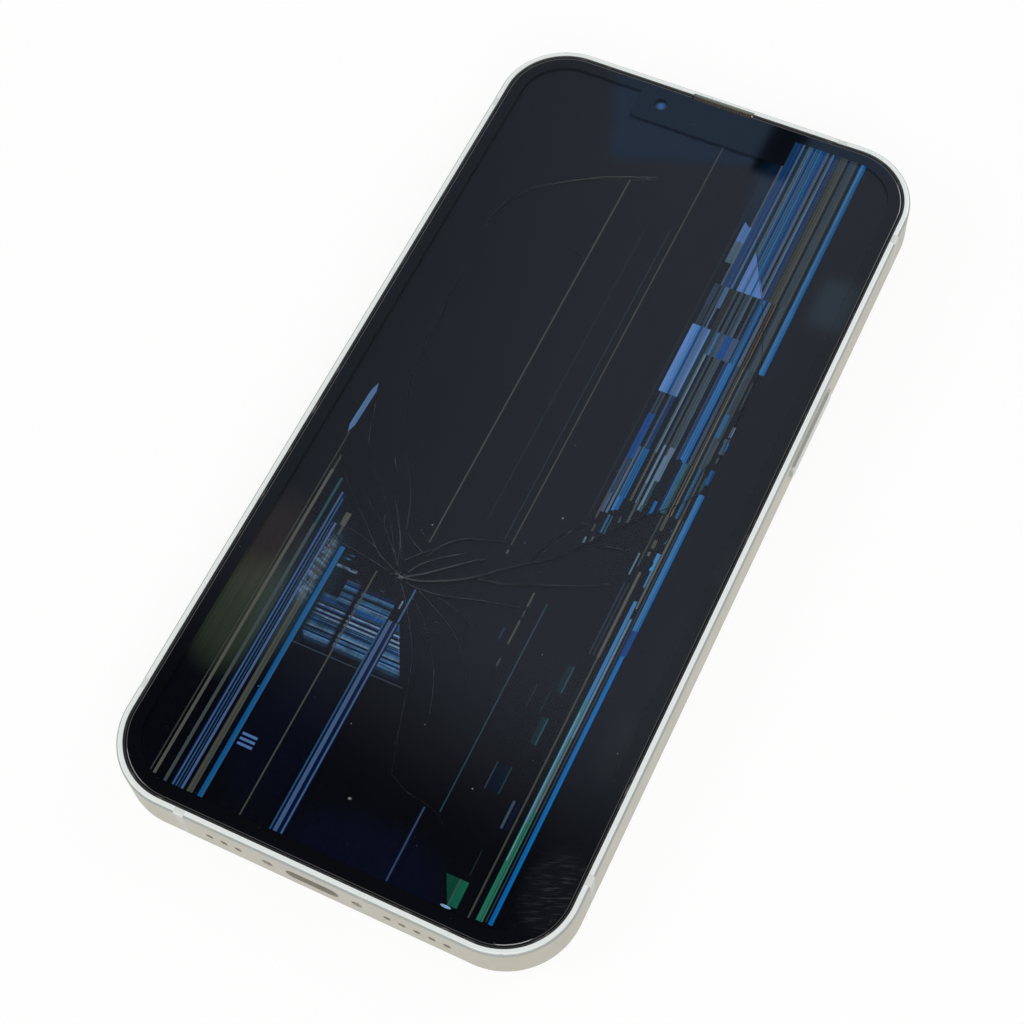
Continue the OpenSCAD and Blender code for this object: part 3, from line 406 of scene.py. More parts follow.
@dataclass(frozen=True)
class SplitPlastic(Finish):
    """Pale plastic that fills a split in the rails, with the hair-thin joint lines at its sides."""

    tone: Colour
    line_tone: Colour
    half_width: float
    long_y: float
    short_x: float

    def shade(self, g: Graph) -> Value:
        """Returns the shader.

        Args:
            g: The material's nodes.

        Returns:
            The shader.
        """
        x, y, z = g.axes
        from_long = abs(abs(y) - self.long_y)
        from_short = abs(abs(x) - self.short_x)
        reach = self.half_width - 0.07
        edge = from_long.near(self.half_width, 0.07) + from_short.near(self.half_width, 0.07)
        inner = (from_long < reach) + (from_short < reach)
        line = edge * (inner < 0.5)
        grain = g.noise(7, 3)
        colour = g.mix(g.noise(0.4, 3).ease(0.4, 0.75) * 0.5, self.tone, (0.55, 0.55, 0.51))
        colour = g.mix(line * 0.7, colour, self.line_tone)
        # Painted highlight: lighter towards the top edge, like the rails' rims.
        colour = g.mix(z.ease(9.3, 9.55) * 0.8, colour, srgb(203, 208, 206))
        return g.surface(base_color=colour, roughness=0.42 + grain * 0.15,
                         normal=g.bump(grain - line * 2.0, 0.15, 0.02))


class Pattern(Enum):
    """What a technical surface is covered with."""

    BRUSHED = "brushed"
    GRAINED = "grained"
    WOVEN = "woven"
    TRACKS = "tracks"
    TURNS = "turns"
    FLAKES = "flakes"
    DIMPLED = "dimpled"
    RIPPLED = "rippled"


@dataclass(frozen=True)
class Technical(Finish):
    """A plain technical finish: a ground tone, a second tone in a pattern, dust and worn spots."""

    tone: Colour
    second: Colour
    pattern: Pattern
    pitch: float
    roughness: float
    metallic: float = 0.0
    relief: float = 0.3
    coat: float = 0.0

    def figure(self, g: Graph) -> Value:
        """Draws the pattern.

        Args:
            g: The material's nodes.

        Returns:
            Where the pattern stands out, from 0 to 1.
        """
        x, y, z = g.axes
        turn = math.tau / self.pitch
        if self.pattern is Pattern.BRUSHED:
            return g.noise(1 / self.pitch, 4, (1.0, 0.05, 1.0))
        if self.pattern is Pattern.GRAINED:
            return g.noise(1 / self.pitch, 4)
        if self.pattern is Pattern.WOVEN:
            across = ((x + z * 0.2) * turn).math("SINE")
            along = (y * turn).math("SINE")
            return (across * along) * 0.5 + 0.5
        if self.pattern is Pattern.TRACKS:
            jog = g.noise(0.16, 1).math("SNAP", 0.2) * 3.0
            lane = ((x + jog) / self.pitch).math("FRACT")
            pads = g.cells(0.6) < 0.3
            return (lane < 0.42).math("MAXIMUM", pads)
        if self.pattern is Pattern.TURNS:
            return ((g.radius(0.0, 0.0) * turn).math("SINE") * 0.5 + 0.5).ease(0.2, 0.6)
        if self.pattern is Pattern.FLAKES:
            return g.cells(1 / self.pitch, "DISTANCE_TO_EDGE").ease(0.0, 0.08)
        if self.pattern is Pattern.DIMPLED:
            return g.cells(1 / self.pitch).ease(0.2, 0.5)
        return (y * turn + g.noise(0.3, 1) * 4.0).math("SINE") * 0.5 + 0.5

    def shade(self, g: Graph) -> Value:
        """Returns the shader.

        Args:
            g: The material's nodes.

        Returns:
            The shader.
        """
        figure = self.figure(g)
        dust = g.noise(0.35, 5).ease(0.55, 0.78)
        colour = g.mix(figure, self.tone, self.second)
        colour = g.mix(dust * 0.18, colour, (0.42, 0.4, 0.36))
        rough = self.roughness + dust * 0.2 + g.noise(2.5, 2) * 0.1
        return g.surface(base_color=colour, roughness=rough, metallic=self.metallic,
                         coat_weight=self.coat, normal=g.bump(figure, self.relief, self.pitch * 0.1))


@dataclass(frozen=True)
class BackGlass(Finish):
    """Rear glass: pale and glossy with finger marks, and matt on the raised camera field."""

    tone: Colour
    field_z: float

    def shade(self, g: Graph) -> Value:
        """Returns the shader.

        Args:
            g: The material's nodes.

        Returns:
            The shader.
        """
        _, _, z = g.axes
        matt = z.ease(self.field_z + 0.1, self.field_z - 0.1)
        smudge = g.noise(0.07, 4).ease(0.45, 0.7)
        ridges = g.noise(1.6, 2, (1.0, 0.35, 1.0)).ease(0.45, 0.6) * g.noise(0.09, 2).ease(0.55, 0.68)
        hair = g.noise(0.9, 1, (1.0, 0.03, 1.0)).ease(0.7, 0.73)
        grain = g.noise(8, 2)
        colour = g.mix(g.noise(0.05, 3).ease(0.3, 0.8) * 0.25, self.tone, (0.72, 0.7, 0.63))
        colour = g.mix(hair * 0.2, colour, (0.95, 0.95, 0.93))
        rough = 0.13 + smudge * 0.1 + ridges * 0.12 + matt * 0.32
        return g.surface(base_color=colour, roughness=rough, coat_weight=(1.0 - matt) * 0.9,
                         coat_roughness=0.04, normal=g.bump(grain * matt, 0.15, 0.02))


# Middle, reach and level of each patch of grease on the glass, in millimetres.
SMEARS = (
    ((31.5, -61.5), (4.6, 7.0), 1.0), ((30.4, -38.5), (2.2, 6.5), 0.5), ((33.4, -7.0), (1.4, 4.4), 0.5),
    ((31.0, -22.0), (3.0, 9.0), 0.2), ((-24.0, 8.0), (5.0, 16.0), 0.12))


@dataclass(frozen=True)
class CoverGlass(Finish):
    """Clear front glass: black paint round the display, whitened cracks, smears of skin oil and dust."""

    half_x: float
    half_y: float
    corner: float
    top_z: float
    groove: float
    impact: Point
    notch: Point
    eye: Point
    eye_hole: float
    lower_extra: float = 0.45

    def inside_window(self, g: Graph) -> Value:
        """Finds the clear window, which has round corners, a notch and a hole for the camera.

        The lower face's window is the wider, so that its edge stays hidden under the upper one's.

        Args:
            g: The material's nodes.

        Returns:
            1 over the window, and 0 over the paint.
        """
        x, y, z = g.axes
        wider = (z < self.top_z - 0.5) * self.lower_extra
        over_x = (abs(x) - (self.half_x - self.corner)).math("MAXIMUM", 0.0)
        over_y = (abs(y) - (self.half_y - self.corner)).math("MAXIMUM", 0.0)
        reach = (over_x * over_x + over_y * over_y).math("SQRT")
        notch = ((abs(x) + wider) < self.notch[0]) * ((y - wider) > self.notch[1])
        window = ((reach - wider) < self.corner) * (1.0 - notch)
        return window.math("MAXIMUM", (g.radius(*self.eye) - wider) < self.eye_hole)

    def smears(self, g: Graph) -> Value:
        """Draws the greasy streaks that hands left along the right edge.

        Args:
            g: The material's nodes.

        Returns:
            How thick the grease is.
        """
        x, y, _ = g.axes
        rub, across = x * 0.92 + y * 0.4, y * 0.92 - x * 0.4
        grain = g.node("CombineXYZ", None, (rub * 0.35, across * 3.2, 0.0))
        ridges = g.node("TexNoise", None, {"Vector": grain, "Scale": 1.1, "Detail": 4.0}).ease(0.48, 0.72)
        total = 0.0
        for at, reach, level in SMEARS:
            total = g.oval(at, reach).ease(1.2, 0.2) * level + total
        return total * (ridges * 0.85 + 0.15)

    def shade(self, g: Graph) -> Value:
        """Returns the shader.

        Args:
            g: The material's nodes.

        Returns:
            The shader.
        """
        _, y, z = g.axes
        clear = self.inside_window(g)
        glass = g.surface(base_color=(0.96, 0.98, 1.0), roughness=0.0, ior=1.5, transmission_weight=1.0)
        paint = g.surface(base_color=(0.002, 0.0022, 0.0026), roughness=0.02 + g.noise(0.2, 3) * 0.03,
                          ior=1.72)
        shader = g.blend_shaders(clear, paint, glass)
        near_hit = g.radius(*self.impact).ease(24.0, 2.0)
        sparkle = g.noise(3.2, 2).ease(0.35, 0.7)
        grey = g.mix(near_hit, srgb(66, 71, 76), srgb(118, 124, 129))
        grey = g.mix(sparkle * 0.5, grey, srgb(54, 58, 62))
        crushed = g.surface(base_color=grey, roughness=0.35, ior=1.5)
        in_groove = z.between(self.top_z - self.groove - 0.02, self.top_z - 0.006) * clear
        low_down = y.ease(-20.0, -60.0) * 0.6
        cover = (0.86 - near_hit * 0.1) * (1.0 - low_down)
        shader = g.blend_shaders(in_groove * cover, shader, crushed)
        film = g.surface(base_color=srgb(150, 156, 160), roughness=0.5)
        lint = g.noise(2.2, 5).ease(0.71, 0.76) * 0.12
        on_top = z > (self.top_z - 0.01)
        haze = (self.smears(g) * 0.06 + lint) * on_top
        return g.blend_shaders(haze, shader, film)


class Hue(Enum):
    """Colours of the display's faults."""

    BEIGE = srgb(112, 114, 102)
    TAN = srgb(112, 94, 64)
    OLIVE = srgb(80, 84, 72)
    SAGE = srgb(92, 106, 106)
    GREY = srgb(80, 104, 124)
    PALE = srgb(130, 164, 196)
    STEEL = srgb(72, 126, 172)
    LAVENDER = srgb(84, 116, 160)
    LILAC = srgb(102, 148, 218)
    SKY = srgb(66, 142, 204)
    AZURE = srgb(4, 118, 196)
    BLUE = srgb(12, 72, 142)
    NAVY = srgb(3, 22, 62)
    TEAL = srgb(56, 112, 124)
    GREEN = srgb(26, 118, 90)
    DARK = srgb(4, 8, 14)


@dataclass(frozen=True)
class Streak:
    """An upright bar of light: its middle and width across, its two ends, its colour and its level."""

    x: float
    width: float
    low: float
    high: float
    hue: Hue
    level: float


def streaks(*rows: tuple[float, float, float, float, Hue, float]) -> tuple[Streak, ...]:
    """Returns streaks from rows of their fields."""
    return tuple(Streak(*row) for row in rows)


@dataclass(frozen=True)
class Barcode:
    """Bars side by side between two heights; each starts at its x and runs to the next one's."""

    low: float
    high: float
    bars: tuple[tuple[float, Hue, float], ...]


# Four rows of the barcode, from the top down: lower and upper end, and where each bar starts, its hue and
# its level.
TOP_CODE = Barcode(39.2, 70.3, (
    (13.4, Hue.GREY, 0.7), (13.9, Hue.BLUE, 1.0), (14.5, Hue.LAVENDER, 0.35), (15.0, Hue.LILAC, 0.6),
    (15.4, Hue.TEAL, 0.18), (16.0, Hue.GREY, 0.8), (16.5, Hue.SKY, 0.5), (16.9, Hue.BLUE, 0.55),
    (17.25, Hue.SKY, 0.45), (18.2, Hue.AZURE, 0.62), (18.8, Hue.BLUE, 0.9), (19.15, Hue.LAVENDER, 0.5),
    (19.4, Hue.PALE, 0.45), (19.65, Hue.NAVY, 0.5), (20.0, Hue.PALE, 0.6), (20.45, Hue.BLUE, 0.5),
    (21.2, Hue.SAGE, 0.35), (21.9, Hue.OLIVE, 0.6), (22.6, Hue.BEIGE, 0.5), (22.9, Hue.DARK, 1.0),
    (23.3, Hue.GREY, 0.8), (23.95, Hue.SAGE, 0.55), (24.6, Hue.DARK, 1.0), (25.15, Hue.SKY, 0.8),
    (25.65, Hue.AZURE, 0.75), (26.1, Hue.DARK, 0.0)))

MIDDLE_CODE = Barcode(26.3, 39.2, (
    (12.6, Hue.GREY, 0.35), (13.4, Hue.NAVY, 0.4), (13.6, Hue.GREY, 0.4), (14.1, Hue.DARK, 1.0),
    (14.3, Hue.PALE, 0.5), (14.6, Hue.NAVY, 0.5), (15.2, Hue.OLIVE, 0.25), (16.15, Hue.PALE, 0.5),
    (16.4, Hue.DARK, 1.0), (16.9, Hue.GREY, 0.75), (17.4, Hue.DARK, 1.0), (17.85, Hue.GREY, 0.6),
    (18.4, Hue.GREY, 0.95), (18.9, Hue.DARK, 1.0), (19.6, Hue.GREY, 0.7), (19.95, Hue.NAVY, 1.0),
    (20.35, Hue.SKY, 0.75), (20.8, Hue.AZURE, 0.7), (21.25, Hue.NAVY, 0.9), (21.6, Hue.PALE, 0.4),
    (22.1, Hue.DARK, 1.0), (22.35, Hue.TAN, 0.75), (22.5, Hue.DARK, 1.0), (22.65, Hue.TAN, 0.95),
    (22.9, Hue.DARK, 1.0), (23.3, Hue.GREY, 0.55), (24.0, Hue.SAGE, 0.5), (24.6, Hue.DARK, 0.0)))

LOWER_CODE = Barcode(7.2, 26.3, (
    (12.7, Hue.GREY, 0.55), (13.0, Hue.DARK, 1.0), (13.2, Hue.GREY, 0.5), (13.6, Hue.DARK, 1.0),
    (14.3, Hue.PALE, 0.6), (14.6, Hue.BLUE, 0.5), (15.2, Hue.DARK, 1.0), (16.1, Hue.PALE, 0.7),
    (16.5, Hue.DARK, 1.0), (16.95, Hue.GREY, 0.6), (17.4, Hue.DARK, 1.0), (17.8, Hue.SAGE, 0.65),
    (18.3, Hue.GREY, 0.9), (18.9, Hue.DARK, 1.0), (19.65, Hue.LAVENDER, 0.5), (19.95, Hue.BLUE, 1.0),
    (20.3, Hue.SKY, 0.75), (20.75, Hue.AZURE, 0.85), (21.2, Hue.NAVY, 1.0), (21.6, Hue.PALE, 0.45),
    (22.1, Hue.DARK, 1.0), (22.35, Hue.TAN, 0.85), (22.5, Hue.DARK, 1.0), (22.65, Hue.BEIGE, 0.9),
    (22.9, Hue.DARK, 1.0), (23.3, Hue.GREY, 0.6), (23.95, Hue.SAGE, 0.4), (24.5, Hue.DARK, 0.0)))

END_CODE = Barcode(-2.0, 7.2, (
    (12.6, Hue.LAVENDER, 0.7), (13.15, Hue.GREY, 0.9), (13.45, Hue.NAVY, 0.8), (13.65, Hue.PALE, 0.6),
    (14.0, Hue.NAVY, 0.8), (14.25, Hue.SKY, 0.95), (14.65, Hue.AZURE, 0.7), (15.35, Hue.DARK, 1.0),
    (16.05, Hue.BEIGE, 0.7), (16.4, Hue.DARK, 1.0), (17.0, Hue.PALE, 0.5), (17.35, Hue.DARK, 1.0),
    (17.8, Hue.PALE, 0.6), (18.2, Hue.TEAL, 0.6), (18.6, Hue.DARK, 1.0), (20.6, Hue.BLUE, 0.6),
    (20.9, Hue.SKY, 0.6), (21.3, Hue.TEAL, 0.6), (22.0, Hue.DARK, 1.0), (22.3, Hue.TAN, 0.7),
    (22.5, Hue.DARK, 1.0), (22.65, Hue.BEIGE, 0.8), (22.9, Hue.DARK, 1.0), (23.4, Hue.SKY, 0.4),
    (23.9, Hue.DARK, 1.0), (24.2, Hue.BEIGE, 0.6), (24.5, Hue.DARK, 0.0)))

CODES = (TOP_CODE, MIDDLE_CODE, LOWER_CODE, END_CODE)

# Wide blocks and short bars that lie over the barcodes.
BLOCKS = streaks(
    (13.0, 1.4, 48.0, 51.3, Hue.LILAC, 0.7), (13.0, 1.4, 43.6, 48.0, Hue.GREY, 1.0),
    (12.8, 1.0, 17.4, 30.8, Hue.LILAC, 1.0), (13.5, 0.4, 17.4, 30.8, Hue.SKY, 0.8),
    (13.9, 0.4, 17.4, 30.8, Hue.BLUE, 1.0), (14.55, 0.9, 17.4, 30.8, Hue.LAVENDER, 1.0),
    (15.17, 0.35, 17.4, 30.8, Hue.LILAC, 0.9), (15.7, 0.7, 17.4, 30.8, Hue.TEAL, 0.15),
    (14.65, 0.8, 35.0, 39.2, Hue.LAVENDER, 0.9), (12.95, 0.8, 35.0, 39.2, Hue.LAVENDER, 0.3),
    (16.7, 0.4, 26.3, 30.8, Hue.SKY, 0.6), (17.7, 0.5, 26.3, 30.8, Hue.GREY, 0.7),
    (18.5, 1.1, 26.3, 30.8, Hue.BLUE, 1.2), (19.6, 1.0, 26.3, 30.8, Hue.LAVENDER, 0.6),
    (13.15, 1.1, 4.7, 13.2, Hue.BLUE, 1.1), (17.2, 0.35, 1.7, 8.9, Hue.PALE, 0.75),
    (18.45, 0.8, 2.6, 8.9, Hue.PALE, 0.6), (23.75, 0.8, 13.2, 17.6, Hue.SKY, 0.5))

# Dashes and long bars along the right side.
RIGHT_DASHES = streaks(
    (25.4, 0.5, 26.2, 39.2, Hue.SKY, 0.8), (25.87, 0.45, 26.2, 39.2, Hue.AZURE, 0.75),
    (25.0, 0.2, 19.2, 24.3, Hue.GREY, 0.5), (25.55, 0.45, 14.0, 16.0, Hue.PALE, 0.6),
    (25.4, 0.8, 10.7, 13.6, Hue.GREY, 0.8), (25.75, 0.35, 11.5, 13.0, Hue.AZURE, 0.7),
    (25.4, 0.3, 9.0, 10.1, Hue.SAGE, 0.6), (25.55, 0.7, 5.0, 7.7, Hue.AZURE, 0.6),
    (25.1, 0.4, 3.4, 6.2, Hue.TEAL, 0.5), (24.2, 0.35, 8.4, 12.6, Hue.SAGE, 0.6),
    (12.75, 0.3, -6.7, -2.0, Hue.BEIGE, 0.5), (13.15, 0.45, -5.4, -2.0, Hue.LAVENDER, 0.8),
    (13.8, 0.35, -5.3, -2.0, Hue.PALE, 0.6), (14.45, 0.4, -4.6, -2.0, Hue.SKY, 0.9),
    (14.95, 0.55, -4.3, -2.0, Hue.AZURE, 0.7), (14.45, 0.3, -8.7, -5.4, Hue.SKY, 0.55),
    (14.95, 0.25, -8.8, -5.5, Hue.TEAL, 0.6), (13.15, 0.3, -9.0, -7.7, Hue.SAGE, 0.6),
    (12.8, 0.3, -11.3, -10.2, Hue.PALE, 0.6), (13.75, 0.3, -10.7, -9.7, Hue.SAGE, 0.8),
    (16.2, 0.3, -6.1, -5.0, Hue.SAGE, 0.6), (17.35, 0.35, -5.6, -1.4, Hue.SAGE, 0.7),
    (17.95, 0.35, -3.0, -2.0, Hue.PALE, 0.6), (18.35, 0.3, -3.1, -2.0, Hue.TEAL, 0.6),
    (19.85, 0.5, -2.9, -0.5, Hue.AZURE, 0.75), (21.1, 0.25, -13.3, -9.4, Hue.PALE, 0.6),
    (21.1, 0.2, -27.2, -14.8, Hue.GREY, 0.35), (21.7, 0.25, -11.6, -2.3, Hue.SAGE, 0.5),
    (21.7, 0.2, -27.2, -14.5, Hue.GREY, 0.3), (22.4, 0.5, -4.8, -2.0, Hue.BEIGE, 0.5),
    (22.5, 0.5, -8.0, -6.5, Hue.BEIGE, 0.55), (22.4, 0.4, -9.4, -8.7, Hue.BEIGE, 0.8),
    (22.47, 0.4, -27.3, -12.3, Hue.BEIGE, 0.7), (22.47, 0.26, -69.4, -27.3, Hue.BEIGE, 0.45),
    (23.8, 0.35, -6.6, -4.0, Hue.SKY, 0.6), (23.8, 0.6, -11.5, -8.4, Hue.SKY, 1.1),
    (23.95, 0.3, -14.4, -11.5, Hue.SKY, 0.9), (24.35, 0.3, -18.0, -2.0, Hue.BEIGE, 0.9),
    (23.82, 0.55, -40.0, -16.9, Hue.SKY, 0.9), (24.35, 0.3, -40.0, -19.8, Hue.PALE, 0.75),
    (23.82, 0.6, -56.0, -34.0, Hue.TEAL, 1.5), (24.35, 0.26, -52.0, -40.0, Hue.SAGE, 1.3),
    (23.82, 0.6, -69.2, -54.0, Hue.GREEN, 1.3), (24.35, 0.26, -69.2, -52.0, Hue.GREEN, 1.5),
    (24.08, 0.16, -69.2, -44.0, Hue.SAGE, 1.0), (23.7, 0.12, -60.0, -36.0, Hue.PALE, 1.1),
    (24.9, 0.18, -69.0, -2.0, Hue.GREY, 0.4), (25.45, 0.5, -21.3, 3.2, Hue.SKY, 0.85),
    (25.9, 0.4, -21.3, 3.2, Hue.AZURE, 0.8), (25.65, 0.9, -25.7, -21.3, Hue.BLUE, 1.0),
    (25.6, 0.62, -69.1, -25.7, Hue.AZURE, 1.0))

# Thin lines and faint blocks in the dark middle.
SMALL_LINES = streaks(
    (-8.05, 0.22, -20.6, 52.4, Hue.BEIGE, 0.5), (3.25, 0.2, -16.0, 64.5, Hue.BEIGE, 0.42),
    (3.25, 0.3, -17.6, -16.9, Hue.BEIGE, 0.7), (1.95, 0.18, -15.5, 46.0, Hue.GREY, 0.22),
    (-1.85, 0.18, -14.0, 44.0, Hue.GREY, 0.16), (11.6, 0.3, -7.0, 61.0, Hue.GREY, 0.12),
    (9.78, 0.28, -24.2, -21.7, Hue.BEIGE, 0.7), (9.78, 0.25, -25.9, -24.8, Hue.BEIGE, 0.45),
    (9.78, 0.28, -30.7, -26.6, Hue.BEIGE, 0.6), (9.78, 0.28, -34.5, -33.2, Hue.SAGE, 0.6),
    (8.2, 0.3, -30.6, -28.5, Hue.LAVENDER, 0.22), (12.25, 0.2, -57.6, -22.5, Hue.TEAL, 0.42),
    (10.0, 0.55, -69.5, -57.8, Hue.NAVY, 1.0), (10.0, 0.2, -69.5, -57.8, Hue.GREY, 0.85),
    (16.35, 0.22, -51.9, -47.5, Hue.GREY, 0.4), (17.45, 2.0, -51.9, -47.5, Hue.NAVY, 0.3),
    (18.5, 0.22, -51.9, -47.5, Hue.TEAL, 0.35), (16.35, 0.2, -38.4, -34.5, Hue.GREY, 0.2),
    (18.5, 0.2, -38.4, -34.5, Hue.TEAL, 0.2), (20.0, 0.3, -34.5, -30.0, Hue.TEAL, 0.5),
    (19.5, 0.8, -34.5, -30.0, Hue.TEAL, 0.12), (20.0, 0.3, -43.2, -38.8, Hue.TEAL, 0.55),
    (19.5, 0.8, -43.2, -38.8, Hue.TEAL, 0.12), (21.0, 0.36, -56.2, -51.8, Hue.GREY, 0.7),
    (21.75, 0.35, -56.2, -51.8, Hue.NAVY, 0.8), (20.05, 0.2, -64.0, -60.0, Hue.GREY, 0.15))

# Long bars along the left side.
LEFT_LINES = streaks(
    (-27.85, 0.2, -69.1, -8.6, Hue.BEIGE, 0.42), (-27.1, 0.46, -69.2, -15.4, Hue.BEIGE, 0.8),
    (-27.05, 0.32, -15.4, -12.6, Hue.OLIVE, 0.9), (-25.15, 0.5, -69.6, -24.8, Hue.SAGE, 0.62),
    (-25.1, 0.4, -24.8, -16.2, Hue.TEAL, 0.55), (-23.15, 2.2, -69.6, -24.0, Hue.NAVY, 0.8),
    (-23.5, 1.2, -24.0, -18.4, Hue.NAVY, 0.8), (-23.85, 0.28, -69.6, -18.3, Hue.LAVENDER, 0.9),
    (-23.3, 0.2, -69.6, -19.3, Hue.STEEL, 0.7), (-22.85, 0.14, -69.6, -23.4, Hue.GREY, 0.6),
    (-22.35, 0.36, -69.6, -23.4, Hue.LAVENDER, 0.95), (-21.15, 0.95, -69.6, -26.0, Hue.OLIVE, 0.8),
    (-21.35, 0.2, -69.6, -30.0, Hue.BEIGE, 0.65), (-20.8, 0.16, -69.6, -34.0, Hue.SAGE, 0.8),
    (-21.3, 0.9, -23.4, -21.1, Hue.OLIVE, 1.2), (-21.1, 0.4, -25.0, -23.4, Hue.OLIVE, 1.0),
    (-19.65, 0.42, -69.6, -26.5, Hue.AZURE, 0.7), (-19.25, 0.36, -69.6, -26.5, Hue.SKY, 0.5),
    (-13.0, 0.24, -69.6, -28.0, Hue.BEIGE, 0.55), (-7.2, 2.2, -69.6, -34.4, Hue.NAVY, 0.9),
    (-8.15, 0.24, -69.6, -34.4, Hue.STEEL, 0.45), (-7.4, 0.6, -69.6, -34.4, Hue.LAVENDER, 0.95),
    (-6.4, 0.28, -69.6, -34.4, Hue.LAVENDER, 0.9), (-7.2, 0.25, -32.2, -30.8, Hue.PALE, 0.8),
    (-6.35, 0.28, -34.2, -28.4, Hue.STEEL, 0.7))

# Middle, reach and added light of each soft glow: the panel's own faint light, and partly painted
# reflection of the room on the glass.
GLOWS_AND_REFLECTIONS = (
    ((-28.0, -42.0), (9.0, 12.0), (0.019, 0.028, 0.014)),
    ((-30.0, -31.0), (6.0, 12.0), (0.013, 0.008, 0.005)),
    ((-22.0, -35.0), (6.0, 15.0), (0.003, 0.013, 0.02)),
    ((-13.0, -56.0), (9.0, 16.0), (0.0, 0.0008, 0.0045)),
    ((6.0, -69.0), (16.0, 9.0), (0.0, 0.0008, 0.007)),
    ((18.0, 60.0), (9.0, 15.0), (0.001, 0.012, 0.034)))

# Middle and reach of each dark blot.
BLOTS = (
    ((19.9, 3.6), (0.75, 3.4)), ((20.3, 6.0), (0.5, 1.5)), ((23.4, -5.2), (0.55, 1.8)),
    ((22.7, -10.4), (0.9, 1.0)), ((14.9, -5.0), (0.8, 0.35)), ((16.6, -4.0), (0.6, 1.6)),
    ((24.7, 7.6), (0.4, 1.6)), ((24.8, 11.9), (0.3, 1.3)))

# Odd short dashes above the lit patch.
PATCH_TOPS = streaks(
    (-17.2, 3.4, -29.75, -29.25, Hue.PALE, 0.8), (-17.5, 2.2, -28.2, -27.9, Hue.STEEL, 0.8),
    (-18.4, 2.6, -27.4, -27.15, Hue.STEEL, 0.8), (-11.0, 1.2, -30.75, -30.55, Hue.GREY, 0.8),
    (-14.7, 0.9, -30.75, -30.55, Hue.GREY, 0.8))
PATCH_EDGE = Streak(-10.0, 18.0, -43.25, -43.08, Hue.GREY, 0.6)

# Bright threads in the lit patch: height, half width and level.
PATCH_THREADS = (
    (-36.2, 0.14, 1.0), (-37.1, 0.16, 1.0), (-37.8, 0.16, 0.8), (-34.2, 0.12, 0.6), (-39.7, 0.14, 0.8),
    (-41.3, 0.12, 0.5))

# Level bars of the lit patch: where each starts, its hue and its level.
PATCH_ROWS = (
    (-43.1, Hue.BLUE, 0.4), (-42.4, Hue.STEEL, 0.5), (-41.7, Hue.STEEL, 0.8), (-40.9, Hue.NAVY, 0.9),
    (-40.6, Hue.STEEL, 0.9), (-40.2, Hue.NAVY, 0.8), (-39.9, Hue.STEEL, 1.0), (-39.0, Hue.BLUE, 0.8),
    (-38.6, Hue.STEEL, 0.9), (-38.2, Hue.NAVY, 0.6), (-37.9, Hue.STEEL, 0.6), (-37.6, Hue.NAVY, 0.8),
    (-36.9, Hue.DARK, 1.0), (-36.6, Hue.BLUE, 0.5), (-36.3, Hue.NAVY, 0.8), (-35.8, Hue.STEEL, 0.5),
    (-35.4, Hue.BLUE, 0.7), (-34.9, Hue.STEEL, 1.0), (-34.2, Hue.BLUE, 0.9), (-33.8, Hue.STEEL, 0.9),
    (-33.1, Hue.NAVY, 0.9), (-32.8, Hue.STEEL, 0.7), (-32.0, Hue.BLUE, 0.7), (-31.4, Hue.GREY, 0.4),
    (-30.9, Hue.DARK, 1.0), (-30.45, Hue.DARK, 0.0))


